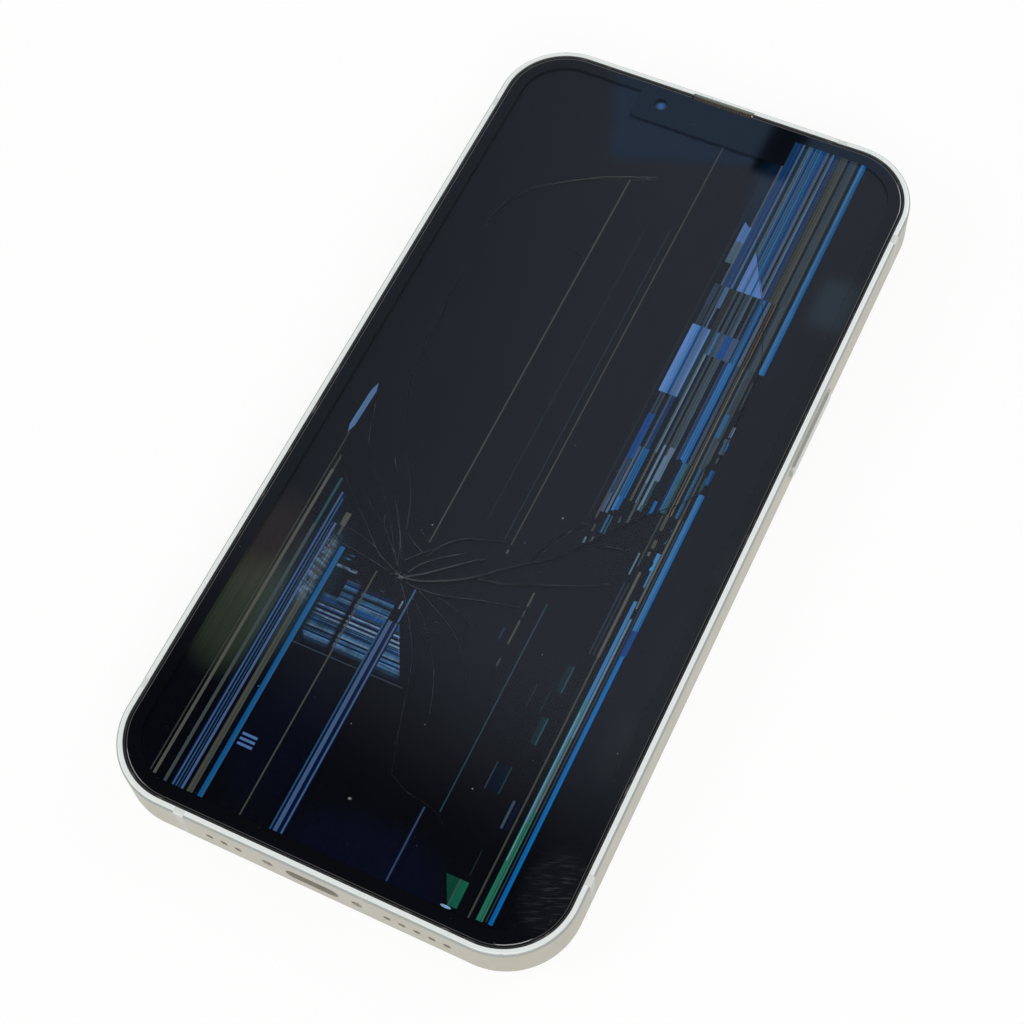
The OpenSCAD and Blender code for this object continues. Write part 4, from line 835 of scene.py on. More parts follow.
@dataclass(frozen=True)
class FaultyDisplay(Finish):
    """Dead black panel that still lights broken lines: bars, a barcode patch, blots and glows partly
    painted reflection.
    """

    half_x: float
    half_y: float
    dimming: float = 0.66
    seam_x: float = 12.0
    spindle: Point = (-27.95, -3.8)
    spindle_half: Point = (0.42, 4.9)
    spindle_lean: float = 0.035
    sign: Streak = Streak(-17.4, 2.4, -60.5, -60.1, Hue.LILAC, 0.8)
    sign_pitch: float = 0.8

    def tinted(self, hue: Hue, level: float) -> Colour:
        """Returns a hue's colour at a level, on the dimmed panel."""
        return tuple(part * level * self.dimming for part in hue.value)

    def box(self, g: Graph, streak: Streak) -> Value:
        """Returns 1 inside a streak."""
        x, y, _ = g.axes
        return x.near(streak.x, streak.width / 2) * y.between(streak.low, streak.high)

    def ramp(self, g: Graph, along: Value, bars: Sequence[tuple[float, Hue, float]]) -> Value:
        """Returns colours that change in steps along a value.

        Args:
            g: The material's nodes.
            along: Place in millimetres.
            bars: Where each bar starts, its hue and its level, in order.

        Returns:
            The colour of the bar at that place.
        """
        first, last = bars[0][0], bars[-1][0]
        share = (along - first) / (last - first)
        stops = [((start - first) / (last - first), self.tinted(hue, level)) for start, hue, level in bars]
        return g.node("ValToRGB", {"stops": stops, "blend": "CONSTANT"}, (share,))

    def fine_lines(self, g: Graph, along: Value, pitch: float, seed: int, run: Triple) -> Value:
        """Returns a grey level that changes at random from one thin line to the next.

        Args:
            g: The material's nodes.
            along: Place across the lines, in millimetres.
            pitch: Width of one line.
            seed: Picks another row of levels.
            run: How the slow drift along the lines is squeezed along each axis.

        Returns:
            A level around 1.
        """
        place = along.math("SNAP", pitch) * 7.31 + seed * 3.7
        level = g.node("TexWhiteNoise", {"noise_dimensions": "1D"}, {"W": place}, "Value")
        drift = g.noise(1.0, 3, run)
        return (level * 0.95 + 0.35) * (drift * 0.8 + 0.62)

    def side_of(self, g: Graph, start: Point, end: Point) -> Value:
        """Tells the two sides of a slanting line apart.

        Args:
            g: The material's nodes.
            start: A point on the line, in millimetres.
            end: Another.

        Returns:
            1 on the left of the line from start to end.
        """
        x, y, _ = g.axes
        dx, dy = end[0] - start[0], end[1] - start[1]
        return ((y - start[1]) * dx - (x - start[0]) * dy) > 0.0

    def add_soft_spot(self, g: Graph, at: Point, reach: Point, colour: Colour, light: Value) -> Value:
        """Returns the light with a soft round glow added, which is partly painted reflection."""
        return g.mix(g.oval(at, reach).ease(1.0, 0.0), light, colour, "ADD")

    def patch(self, g: Graph, light: Value) -> Value:
        """Adds the patch of level bars beside the point of impact.

        Args:
            g: The material's nodes.
            light: What the panel shows so far.

        Returns:
            The light with it added.
        """
        x, y, _ = g.axes
        fine = self.fine_lines(g, y, 0.21, 9, (0.16, 1.5, 1.0))
        rows = g.mix(1.0, self.ramp(g, y, PATCH_ROWS), fine * fine * 1.15, "MULTIPLY")
        for at, half, level in PATCH_THREADS:
            broken = g.noise(0.6, 2, (0.5, 0.1, 1.0)).ease(0.3, 0.5)
            rows = g.mix(y.near(at, half) * broken, rows, self.tinted(Hue.PALE, level))
        far_left = x.ease(-18.9, -17.6) * x.ease(-13.75, -14.4) * y.ease(-42.9, -41.4)
        far_left = far_left * (1.0 - self.side_of(g, (-17.2, -42.8), (-18.9, -40.4))) * (y < -30.7)
        middle = x.ease(-13.55, -13.0) * (x < -8.0) * y.ease(-42.6, -41.0) * y.ease(-30.9, -33.2)
        right = x.ease(-1.4, -3.4) * (x > -6.0) * y.ease(-43.0, -41.2)
        right = right * (1.0 - self.side_of(g, (-6.1, -34.1), (-1.6, -42.8)))
        hole = x.between(-18.8, -16.2) * y.ease(-34.7, -34.1)
        streaky = g.noise(1.0, 3, (0.22, 1.3, 1.0)).ease(0.28, 0.5) * 0.75 + 0.25
        body = (far_left * 0.8 + middle + right).math("MINIMUM", 1.0) * (1.0 - hole) * streaky
        light = g.mix(body, light, rows)
        light = g.mix(self.box(g, PATCH_EDGE) * 0.8, light, self.tinted(PATCH_EDGE.hue, PATCH_EDGE.level))
        for top in PATCH_TOPS:
            fade = g.noise(0.9, 3, (0.8, 0.8, 1.0)).ease(0.42, 0.62)
            light = g.mix(self.box(g, top) * fade, light, self.tinted(top.hue, top.level))
        return light

    def mosaic(self, g: Graph, light: Value) -> Value:
        """Adds the speckled band where level and upright faults cross.

        Args:
            g: The material's nodes.
            light: What the panel shows so far.

        Returns:
            The light with it added.
        """
        x, y, _ = g.axes
        upright = self.fine_lines(g, x, 0.22, 21, (1.0, 0.3, 1.0))
        level = self.fine_lines(g, y + x * 0.35, 0.24, 33, (0.3, 1.0, 1.0))
        inside = x.ease(-22.9, -21.9) * x.ease(-20.0, -20.4) * y.ease(-38.5, -34.0) * y.ease(-24.0, -28.5)
        spark = g.mix(1.0, self.tinted(Hue.PALE, 0.5), upright * level, "MULTIPLY")
        return g.mix(inside * g.noise(1.4, 2).ease(0.3, 0.6), light, spark)

    def wedges(self, g: Graph, light: Value) -> Value:
        """Adds the blocks that cracks cut slantwise.

        Args:
            g: The material's nodes.
            light: What the panel shows so far.

        Returns:
            The light with it added.
        """
        x, y, _ = g.axes
        lilac = g.mix(x.between(18.35, 18.65), self.tinted(Hue.LILAC, 0.85), self.tinted(Hue.AZURE, 0.6))
        lilac = g.mix(x.between(17.1, 17.4), lilac, self.tinted(Hue.LAVENDER, 0.7))
        upper = x.between(16.1, 20.2) * (y > 39.2) * (1.0 - self.side_of(g, (16.1, 47.2), (20.2, 40.0)))
        light = g.mix(upper, light, lilac)
        tip = x.between(12.3, 13.7) * y.between(51.2, 52.2)
        tip = tip * (1.0 - self.side_of(g, (12.3, 52.0), (13.7, 51.0)))
        light = g.mix(tip, light, self.tinted(Hue.LILAC, 0.7))
        green = x.between(17.0, 20.5) * y.between(-69.0, -65.0)
        green = green * (1.0 - self.side_of(g, (19.1, -69.0), (17.0, -65.0)))
        shade = g.mix(x > 19.25, self.tinted(Hue.GREEN, 0.4), self.tinted(Hue.GREEN, 0.75))
        shade = g.mix(x.between(19.05, 19.25), shade, self.tinted(Hue.SAGE, 0.55))
        return g.mix(green, light, shade)

    def blots(self, g: Graph, light: Value) -> Value:
        """Adds ink-like bleeding where the panel itself is broken.

        Args:
            g: The material's nodes.
            light: What the panel shows so far.

        Returns:
            The light with it added.
        """
        ragged = g.noise(0.9, 4) * 1.4
        for at, reach in BLOTS:
            light = g.mix((g.oval(at, reach) + ragged) < 1.7, light, self.tinted(Hue.DARK, 1.0))
        return light

    def ground(self, g: Graph) -> Value:
        """Makes the faint light of the dead parts, with the soft glows in it, which are partly painted
        reflection.

        Args:
            g: The material's nodes.

        Returns:
            The light.
        """
        light = g.mix(g.noise(0.06, 3), (0.0008, 0.0009, 0.0012), (0.0018, 0.0014, 0.0018))
        # Soft glows: the panel's own light, and partly painted reflection of the room on the glass.
        for at, reach, colour in GLOWS_AND_REFLECTIONS:
            light = self.add_soft_spot(g, at, reach, colour, light)
        return light

    def lay(self, g: Graph, light: Value, drawn: Iterable[Streak]) -> Value:
        """Lays upright bars over the light.

        Args:
            g: The material's nodes.
            light: What the panel shows so far.
            drawn: The bars, the lowest first.

        Returns:
            The light with them added.
        """
        for streak in drawn:
            light = g.mix(self.box(g, streak), light, self.tinted(streak.hue, streak.level))
        return light

    def left_light(self, g: Graph, ground: Value) -> Value:
        """Lays out the left of the seam.

        Args:
            g: The material's nodes.
            ground: The faint light underneath.

        Returns:
            The whole light.
        """
        x, y, _ = g.axes
        light = self.patch(g, ground)
        small = [streak for streak in SMALL_LINES if streak.x < self.seam_x]
        light = self.mosaic(g, self.lay(g, light, (*small, *LEFT_LINES)))
        up = y - self.spindle[1]
        beside = abs(x - self.spindle[0] - up * self.spindle_lean)
        half_width, half_length = self.spindle_half
        spindle = beside < ((half_length - abs(up)) * 0.28).math("MINIMUM", half_width)
        light = g.mix(spindle, light, self.tinted(Hue.LAVENDER, 1.35))
        bars = [replace(self.sign, low=self.sign.low + rise, high=self.sign.high + rise)
                for rise in (0.0, self.sign_pitch, 2 * self.sign_pitch)]
        return self.lay(g, light, bars)

    def right_light(self, g: Graph, ground: Value) -> Value:
        """Lays out the right of the seam.

        Args:
            g: The material's nodes.
            ground: The faint light underneath.

        Returns:
            The whole light.
        """
        x, y, _ = g.axes
        light = ground
        for place, code in enumerate(CODES):
            bars = self.ramp(g, x, code.bars)
            bars = g.mix(1.0, bars, self.fine_lines(g, x, 0.17, place, (1.6, 0.05, 1.0)), "MULTIPLY")
            inside = x.between(code.bars[0][0], code.bars[-1][0]) * y.between(code.low, code.high)
            light = g.mix(inside, light, bars)
        small = [streak for streak in SMALL_LINES if streak.x > self.seam_x]
        light = self.lay(g, light, (*BLOCKS, *RIGHT_DASHES, *small))
        light = self.blots(g, self.wedges(g, light))
        glint = g.oval((19.0, -69.3), (0.8, 0.2)) < 1.0
        return g.mix(glint, light, self.tinted(Hue.PALE, 1.5))

    def panel(self, g: Graph, light: Value) -> Value:
        """Makes a panel that gives a light.

        Args:
            g: The material's nodes.
            light: The light.

        Returns:
            The shader.
        """
        x, y, _ = g.axes
        uneven = self.fine_lines(g, x, 0.2, 40, (0.8, 0.12, 1.0)) * 0.3 + 0.72
        inside = (abs(x) < self.half_x) * (abs(y) < self.half_y)
        light = g.mix(1.0, light, uneven * inside, "MULTIPLY")
        return g.surface(base_color=(0.002, 0.002, 0.0024), roughness=0.3 + g.noise(0.3, 2) * 0.1,
                         specular_ior_level=0.0, emission_color=light, emission_strength=1.0)

    def shade(self, g: Graph) -> Value:
        """Joins the two sides at the seam.

        They are two shaders, because one chain of so many bars is more than the renderer can hold, and
        comes out dark without a message.

        Args:
            g: The material's nodes.

        Returns:
            The shader.
        """
        x, _, _ = g.axes
        ground = self.ground(g)
        left = self.panel(g, self.left_light(g, ground))
        right = self.panel(g, self.right_light(g, ground))
        return g.blend_shaders(x > self.seam_x, left, right)


@dataclass(frozen=True)
class LensWindow(Finish):
    """Clear lens cover with a black painted ring."""

    at: Point
    open_radius: float

    def shade(self, g: Graph) -> Value:
        """Returns the shader.

        Args:
            g: The material's nodes.

        Returns:
            The shader.
        """
        clear = g.radius(*self.at) < self.open_radius
        glass = g.surface(base_color=(0.94, 0.95, 1.0), roughness=0.0, ior=1.5, transmission_weight=1.0)
        paint = g.surface(base_color=(0.004, 0.004, 0.005), roughness=0.05 + g.noise(0.4, 3) * 0.05)
        return g.blend_shaders(clear, paint, glass)


@dataclass(frozen=True)
class CoatedLens(Finish):
    """Front lens element: nearly black, with the violet and green sheen of its coatings."""

    at: Point
    radius_mm: float
    middle: Colour = srgb(26, 14, 44)
    sheen: Colour = srgb(20, 62, 60)
    edge: Colour = srgb(8, 10, 16)

    def shade(self, g: Graph) -> Value:
        """Returns the shader.

        Args:
            g: The material's nodes.

        Returns:
            The shader.
        """
        facing = g.node("LayerWeight", None, (0.45,), "Facing")
        ring = (g.radius(*self.at) / self.radius_mm).ease(0.15, 1.0)
        colour = g.mix(facing, self.middle, self.sheen)
        colour = g.mix(ring, colour, self.edge)
        return g.surface(base_color=colour, roughness=0.04 + g.noise(0.6, 2) * 0.02, metallic=0.35,
                         coat_weight=1.0, coat_roughness=0.01)


@dataclass(frozen=True)
class FlashLens(Finish):
    """Flash cover: milky, with fine concentric ridges over a yellow phosphor."""

    at: Point
    radius_mm: float

    def shade(self, g: Graph) -> Value:
        """Returns the shader.

        Args:
            g: The material's nodes.

        Returns:
            The shader.
        """
        out = g.radius(*self.at)
        ridges = (out * 14.0).math("SINE") * 0.5 + 0.5
        colour = g.mix(out.ease(self.radius_mm * 0.75, self.radius_mm * 0.2), srgb(226, 224, 214),
                       srgb(222, 200, 120))
        colour = g.mix(ridges * 0.2, colour, srgb(170, 165, 150))
        return g.surface(base_color=colour, roughness=0.18 + ridges * 0.1, coat_weight=0.6,
                         normal=g.bump(ridges, 0.4, 0.06))


@dataclass(frozen=True)
class CellWrap(Finish):
    """Black pouch of the battery, with an uneven wrap, a pale blank label and a row of plain bars on it."""

    low: Vector
    high: Vector

    def shade(self, g: Graph) -> Value:
        """Returns the shader.

        Args:
            g: The material's nodes.

        Returns:
            The shader.
        """
        x, y, _ = g.axes
        mid_x, mid_y = (self.low.x + self.high.x) / 2 / MM, (self.low.y + self.high.y) / 2 / MM
        label = x.near(mid_x + 4.0, 9.0) * y.near(mid_y - 8.0, 14.0)
        bars = label * (((y * 1.1).math("FRACT")) < 0.4) * x.near(mid_x + 4.0, 6.5)
        wrap = g.noise(0.5, 5)
        colour = g.mix(wrap.ease(0.3, 0.8), (0.012, 0.012, 0.014), (0.03, 0.03, 0.034))
        colour = g.mix(label * 0.85, colour, (0.3, 0.3, 0.3))
        colour = g.mix(bars * 0.8, colour, (0.04, 0.04, 0.045))
        return g.surface(base_color=colour, roughness=0.4 + wrap * 0.2, normal=g.bump(wrap, 0.3, 0.15))


@dataclass(frozen=True)
class Lint(Finish):
    """Dust, grit and crushed glass: pale and mealy."""

    tone: Colour
    second: Colour

    def shade(self, g: Graph) -> Value:
        """Returns the shader.

        Args:
            g: The material's nodes.

        Returns:
            The shader.
        """
        mealy = g.noise(6.0, 4).ease(0.3, 0.7)
        colour = g.mix(mealy, self.tone, self.second)
        return g.surface(base_color=colour, roughness=0.55 + mealy * 0.3)


@dataclass(frozen=True)
class Hairline(Finish):
    """Finest cracks: broken threads of scattered light in the glass."""

    tone: Colour
    cover: float

    def shade(self, g: Graph) -> Value:
        """Returns the shader.

        Args:
            g: The material's nodes.

        Returns:
            The shader.
        """
        broken = g.noise(1.1, 4).ease(0.34, 0.66)
        thread = g.surface(base_color=self.tone, roughness=0.4)
        return g.blend_shaders(broken * self.cover, g.node("BsdfTransparent"), thread)


def mesh_object(name: str, bm: bmesh.types.BMesh) -> bpy.types.Object:
    """Makes an object at the origin from a mesh.

    Args:
        name: The object's name.
        bm: Its mesh, in place; it is freed.

    Returns:
        The object.
    """
    mesh = bpy.data.meshes.new(name)
    bm.to_mesh(mesh)
    bm.free()
    made = bpy.data.objects.new(name, mesh)
    bpy.context.scene.collection.objects.link(made)
    return made


def new_piece(name: str, bm: bmesh.types.BMesh, finish: Finish, smooth: bool = True) -> None:
    """Makes a finished piece that rides on the phone.

    Args:
        name: The piece's name.
        bm: Its mesh, in place; it is freed.
        finish: Its finish.
        smooth: Whether its faces shade smoothly.
    """
    for face in bm.faces:
        face.smooth = smooth
    piece = mesh_object(name, bm)
    piece.data.materials.append(finish.material())
    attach(piece, PHONE)
    log.info("%s: %d faces", name, len(piece.data.polygons))


def add_crumb(bm: bmesh.types.BMesh, at: Vector, turn: Euler, size: Triple) -> None:
    """Adds one crumb, a stretched ball of few faces.

    Args:
        bm: Mesh to add to.
        at: Its middle, in metres.
        turn: How it lies.
        size: Its reach along each of its axes, in millimetres.
    """
    place = Matrix.Translation(at) @ turn.to_matrix().to_4x4()
    bmesh.ops.create_icosphere(bm, subdivisions=1, radius=1.0,
                               matrix=place @ Matrix.Scale(MM, 4) @ Matrix.Diagonal((*size, 1.0)))


def add_dome(bm: bmesh.types.BMesh, at: Vector, size: Point, faces: tuple[int, int]) -> None:
    """Adds one lens element, a flattened ball.

    Args:
        bm: Mesh to add to.
        at: Its middle, in metres.
        size: Its radius and its reach up and down, in millimetres.
        faces: How many lie round it, and from pole to pole.
    """
    radius, reach = size[0] * MM, size[1] * MM
    shape = Matrix.Translation(at) @ Matrix.Diagonal((radius, radius, reach, 1.0))
    bmesh.ops.create_uvsphere(bm, u_segments=faces[0], v_segments=faces[1], radius=1.0, matrix=shape)


def middle(node: str) -> Vector:
    """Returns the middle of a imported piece, in metres."""
    low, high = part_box(node)
    return (low + high) / 2


@dataclass
class Body:
    """Rails, their splits, the buttons and the card tray."""

    split_half: float = 0.8
    split_y: float = 58.0
    split_x: float = 20.8
    rim_from: float = 9.62
    seam_z: float = 2.55

    def metal(self, name: str, tone: Colour, roughness: float) -> Anodised:
        """Returns an anodised finish of a tone."""
        return Anodised(name, tone, tuple(part * 0.88 for part in tone), roughness, 0.55, self.rim_from,
                        self.seam_z)

    def build(self) -> None:
        """Dresses the metal of the outside."""
        rails = self.metal("rail_anodised", srgb(180, 177, 163), 0.42)
        rails.dress("frame_rail_left", "frame_rail_right", "frame_top_left", "frame_top_right",
                    "frame_bottom_left", "frame_bottom_right")
        buttons = self.metal("button_anodised", srgb(190, 193, 187), 0.32)
        buttons.dress("side_button", "volume_up_button", "volume_down_button", "ring_switch")
        self.metal("tray_anodised", srgb(185, 181, 164), 0.42).dress("card_tray")
        SplitPlastic("split_plastic", srgb(176, 177, 169), srgb(138, 136, 126), self.split_half,
                     self.split_y, self.split_x).dress("antenna_splits")


@dataclass
class Face:
    """Cover glass with its cracks and dirt, the bezel, the gasket and the display under it."""

    groove: float = 0.25
    paint_inset: float = 0.5
    corner: float = 7.75
    impact: Point = (-9.1, -27.6)
    notch: Point = (13.8, 64.42)
    eye_hole: float = 1.15
    eye_z: float = 9.01
    eye_size: Point = (1.5, 0.11)
    hairline_width: float = 0.05
    hairline_depth: float = 0.03
    grit_reach: float = 1.5
    dust: tuple[Triple, ...] = (
        (0.07, -61.2, 0.32), (8.45, -9.05, 0.17), (15.0, -52.8, 0.15), (-5.0, -51.2, 0.1),
        (-8.8, -18.0, 0.12), (32.6, -35.2, 0.12), (31.2, -39.7, 0.1), (-19.9, -51.6, 0.12),
        (5.2, 71.9, 0.2), (4.6, -47.0, 0.1))
    hairlines: tuple[tuple[Point, ...], ...] = (
        ((-10.6, -24.4), (-13.9, -19.2), (-16.2, -15.8)), ((-11.5, -24.9), (-15.1, -21.4), (-16.3, -18.9)),
        ((-19.3, -9.8), (-18.6, -11.0), (-17.6, -12.2)), ((-26.3, -2.6), (-25.0, -7.0), (-24.0, -9.4)),
        ((1.9, -38.6), (3.4, -42.2), (4.4, -45.1)), ((-2.5, -32.1), (-0.5, -32.1)),
        ((11.2, -8.6), (12.4, -8.4), (12.9, -8.7)), ((16.5, -10.6), (18.6, -10.1), (19.8, -9.9)),
        ((-10.2, -19.3), (-8.2, -20.6)), ((0.4, -45.2), (1.4, -48.0), (2.0, -51.4)),
        ((-8.2, -29.2), (-7.2, -30.6), (-6.9, -31.8)), ((-6.1, -34.3), (-4.2, -38.0), (-2.4, -41.4)),
        ((7.8, -16.2), (9.6, -12.4), (11.0, -9.4)), ((-4.0, -21.6), (-2.6, -20.4), (-1.6, -19.9)))

    def top(self) -> float:
        """Height of the glass's upper face, in metres."""
        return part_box("cover_glass")[1].z

    def camera(self) -> Point:
        """Middle of the front camera, in millimetres."""
        at = middle("front_camera")
        return at.x / MM, at.y / MM

    def front_eye(self) -> None:
        """Makes the front camera's first lens, a small bluish dome."""
        x, y = self.camera()
        bm = bmesh.new()
        add_dome(bm, Vector((x, y, self.eye_z)) * MM, self.eye_size, (32, 12))
        lens = CoatedLens("front_eye_coated", (x, y), self.eye_size[0] * 0.62, srgb(60, 150, 235),
                          srgb(40, 110, 190), srgb(24, 38, 60))
        new_piece("front_camera_eye", bm, lens)

    def dress(self) -> None:
        """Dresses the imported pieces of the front."""
        _, panel_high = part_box("display_panel")
        half_x, half_y = panel_high.x / MM, panel_high.y / MM
        CoverGlass("cover_glass", half_x - self.paint_inset, half_y - self.paint_inset, self.corner,
                   self.top() / MM, self.groove, self.impact, self.notch, self.camera(),
                   self.eye_hole).dress("cover_glass")
        FaultyDisplay("faulty_display", half_x - 0.1, half_y - 0.1).dress("display_panel")
        Technical("bezel_black", (0.012, 0.012, 0.013), (0.03, 0.03, 0.032), Pattern.GRAINED, 0.15,
                  0.32, relief=0.2).dress("display_bezel")
        Technical("gasket_rubber", (0.02, 0.02, 0.022), (0.035, 0.035, 0.036), Pattern.GRAINED, 0.3,
                  0.75).dress("display_gasket")
        Technical("panel_plate", (0.24, 0.15, 0.09), (0.4, 0.26, 0.16), Pattern.BRUSHED, 0.5, 0.35,
                  0.9).dress("display_plate")

    def dust_specks(self) -> None:
        """Makes the specks of dust on the glass."""
        rng = random.Random(7)
        bm = bmesh.new()
        small = [(rng.uniform(-33, 33), rng.uniform(-71, 70), rng.uniform(0.025, 0.05)) for _ in range(60)]
        for x, y, size in (*self.dust, *small):
            turn = Euler((0.0, 0.0, rng.uniform(0, math.tau)))
            height = size * 0.3
            add_crumb(bm, Vector((x * MM, y * MM, self.top() - height * MM)), turn,
                      (size, size * rng.uniform(0.6, 0.95), height))
        new_piece("dust_specks", bm, Lint("dust_lint", srgb(196, 198, 196), srgb(150, 148, 140)))

    def hairline_cracks(self) -> None:
        """Makes the finest cracks as ribbons that lie on the glass."""
        bm = bmesh.new()
        for line in self.hairlines:
            for start, end in zip(line, line[1:]):
                self.ribbon(bm, start, end)
        new_piece("hairline_cracks", bm, Hairline("crack_thread", srgb(165, 170, 176), 0.55),
                  smooth=False)

    def ribbon(self, bm: bmesh.types.BMesh, start: Point, end: Point) -> None:
        """Adds one flat ribbon.

        Args:
            bm: Mesh to add to.
            start: Its first end, in millimetres.
            end: Its other end.
        """
        along = Vector(end) - Vector(start)
        half_way = (Vector(end) + Vector(start)) / 2 * MM
        place = (Matrix.Translation((*half_way, self.top() - self.hairline_depth * MM))
                 @ Matrix.Rotation(math.atan2(along.y, along.x), 4, "Z")
                 @ Matrix.Diagonal((along.length * MM, self.hairline_width * MM, 1.0, 1.0)))
        bmesh.ops.create_grid(bm, x_segments=1, y_segments=1, size=0.5, matrix=place)

    def crushed_glass(self) -> None:
        """Makes the crushed glass at the point of impact."""
        rng = random.Random(11)
        bm = bmesh.new()
        for _ in range(70):
            away = rng.uniform(0.0, 1.0) ** 1.8 * self.grit_reach
            turn = rng.uniform(0, math.tau)
            size = rng.uniform(0.03, 0.085) * (1.1 - away / 2)
            x, y = self.impact[0] + away * math.cos(turn), self.impact[1] + away * math.sin(turn) * 0.7
            spin = Euler((rng.uniform(-0.4, 0.4), rng.uniform(-0.4, 0.4), turn))
            add_crumb(bm, Vector((x * MM, y * MM, self.top() - size * 1.1 * MM)), spin,
                      (size * 1.5, size, size * 0.4))
        new_piece("crushed_glass", bm, Lint("glass_grit", srgb(150, 156, 162), srgb(96, 102, 110)),
                  smooth=False)

    def build(self) -> None:
        """Dresses the front and adds what lies on it."""
        self.dress()
        self.front_eye()
        self.dust_specks()
        self.hairline_cracks()
        self.crushed_glass()


@dataclass
class Back:
    """Rear glass, lens rings and covers, the flash, and the optics behind the lens covers."""

    barrel_steps: tuple[tuple[float, float], ...] = (
        (4.3, 0.86), (4.3, 0.94), (3.6, 0.94), (3.6, 0.99), (2.9, 0.99), (2.9, 1.03), (2.2, 1.03))
    dome_z: float = 1.03
    dome_size: Point = (2.25, 0.15)
    lens_opening: float = 4.3

    def barrel(self, name: str, at: Vector) -> None:
        """Makes the stepped black rings that show behind a lens cover.

        Args:
            name: The piece's name.
            at: The lens's middle.
        """
        bm = bmesh.new()
        points = [bm.verts.new((at.x + r * MM, at.y, z * MM)) for r, z in self.barrel_steps]
        edges = [bm.edges.new(pair) for pair in zip(points, points[1:])]
        bmesh.ops.spin(bm, geom=points + edges, cent=(at.x, at.y, 0.0), axis=(0, 0, 1), angle=math.tau,
                       steps=64, use_merge=True)
        bmesh.ops.recalc_face_normals(bm, faces=bm.faces)
        bmesh.ops.solidify(bm, geom=bm.faces[:], thickness=0.01 * MM)
        new_piece(name, bm, Technical(f"{name}_black", (0.01, 0.01, 0.011), (0.02, 0.02, 0.022),
                                      Pattern.GRAINED, 0.2, 0.35, relief=0.1), smooth=False)

    def dome(self, name: str, at: Vector) -> None:
        """Makes the front lens element, a shallow dome.

        Args:
            name: The piece's name.
            at: The lens's middle.
        """
        bm = bmesh.new()
        add_dome(bm, Vector((at.x, at.y, self.dome_z * MM)), self.dome_size, (48, 16))
        lens = CoatedLens(f"{name}_coated", (at.x / MM, at.y / MM), self.dome_size[0])
        new_piece(name, bm, lens)

    def build(self) -> None:
        """Dresses the back and adds the optics."""
        low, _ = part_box("back_glass")
        BackGlass("back_glass", srgb(232, 228, 216), low.z / MM + 0.6).dress("back_glass")
        Technical("adhesive_black", (0.02, 0.02, 0.02), (0.05, 0.05, 0.05), Pattern.RIPPLED, 1.2,
                  0.5).dress("back_adhesive")
        Technical("ring_polished", srgb(206, 202, 188), srgb(226, 223, 212), Pattern.BRUSHED, 0.3, 0.16,
                  0.95, 0.1).dress("lens_ring_upper", "lens_ring_lower")
        for side in ("upper", "lower"):
            at = middle(f"lens_glass_{side}")
            window = LensWindow(f"lens_window_{side}", (at.x / MM, at.y / MM), self.lens_opening)
            window.dress(f"lens_glass_{side}")
            self.barrel(f"lens_barrel_{side}", at)
            self.dome(f"lens_element_{side}", at)
        low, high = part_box("flash_window")
        at = middle("flash_window")
        FlashLens("flash_lens", (at.x / MM, at.y / MM), (high.x - low.x) / 2 / MM).dress("flash_window")
        Technical("microphone_mesh", (0.02, 0.02, 0.022), (0.16, 0.16, 0.16), Pattern.WOVEN, 0.12,
                  0.5, 0.6).dress("rear_microphone")


@dataclass
class Openings:
    """What sits in the openings: meshes, port, contacts and screws, with the lint they gather."""

    lint_count: int = 26
    mouth_half: float = 1.22
    mouth_end: float = 1.6

    def lint(self) -> None:
        """Makes the lint in the charging port's mouth."""
        rng = random.Random(5)
        low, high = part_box("charge_port")
        floor_z = (low.z + high.z) / 2 - self.mouth_half * MM
        bm = bmesh.new()
        for _ in range(self.lint_count):
            x = rng.uniform(low.x + self.mouth_end * MM, high.x - self.mouth_end * MM)
            y = low.y + rng.uniform(0.4, 5.5) * MM
            size = rng.uniform(0.05, 0.14)
            turn = Euler((rng.uniform(-0.5, 0.5), 0.0, rng.uniform(0, math.tau)))
            add_crumb(bm, Vector((x, y, floor_z + 0.08 * MM)), turn, (size * 2.0, size, size * 0.5))
        new_piece("port_lint", bm, Lint("port_lint", srgb(120, 116, 112), srgb(84, 82, 84)))

    def build(self) -> None:
        """Dresses the openings' pieces."""
        Technical("earpiece_weave", (0.03, 0.026, 0.022), (0.2, 0.18, 0.155), Pattern.WOVEN, 0.18, 0.5,
                  0.5, 0.6).dress("earpiece_mesh")
        Technical("hole_weave", (0.02, 0.018, 0.016), (0.12, 0.11, 0.1), Pattern.WOVEN, 0.16, 0.6, 0.3,
                  0.5).dress("hole_meshes")
        Technical("port_steel", (0.03, 0.024, 0.024), (0.075, 0.062, 0.06), Pattern.BRUSHED, 0.25, 0.45,
                  0.4).dress("charge_port")
        Technical("contact_gold", srgb(214, 176, 92), srgb(188, 146, 70), Pattern.BRUSHED, 0.15, 0.22,
                  1.0, 0.1).dress("port_contacts")
        Technical("screw_steel", srgb(176, 172, 164), srgb(140, 136, 128), Pattern.TURNS, 0.3, 0.3, 0.95,
                  0.1).dress("base_screws", "cover_screws")
        self.lint()


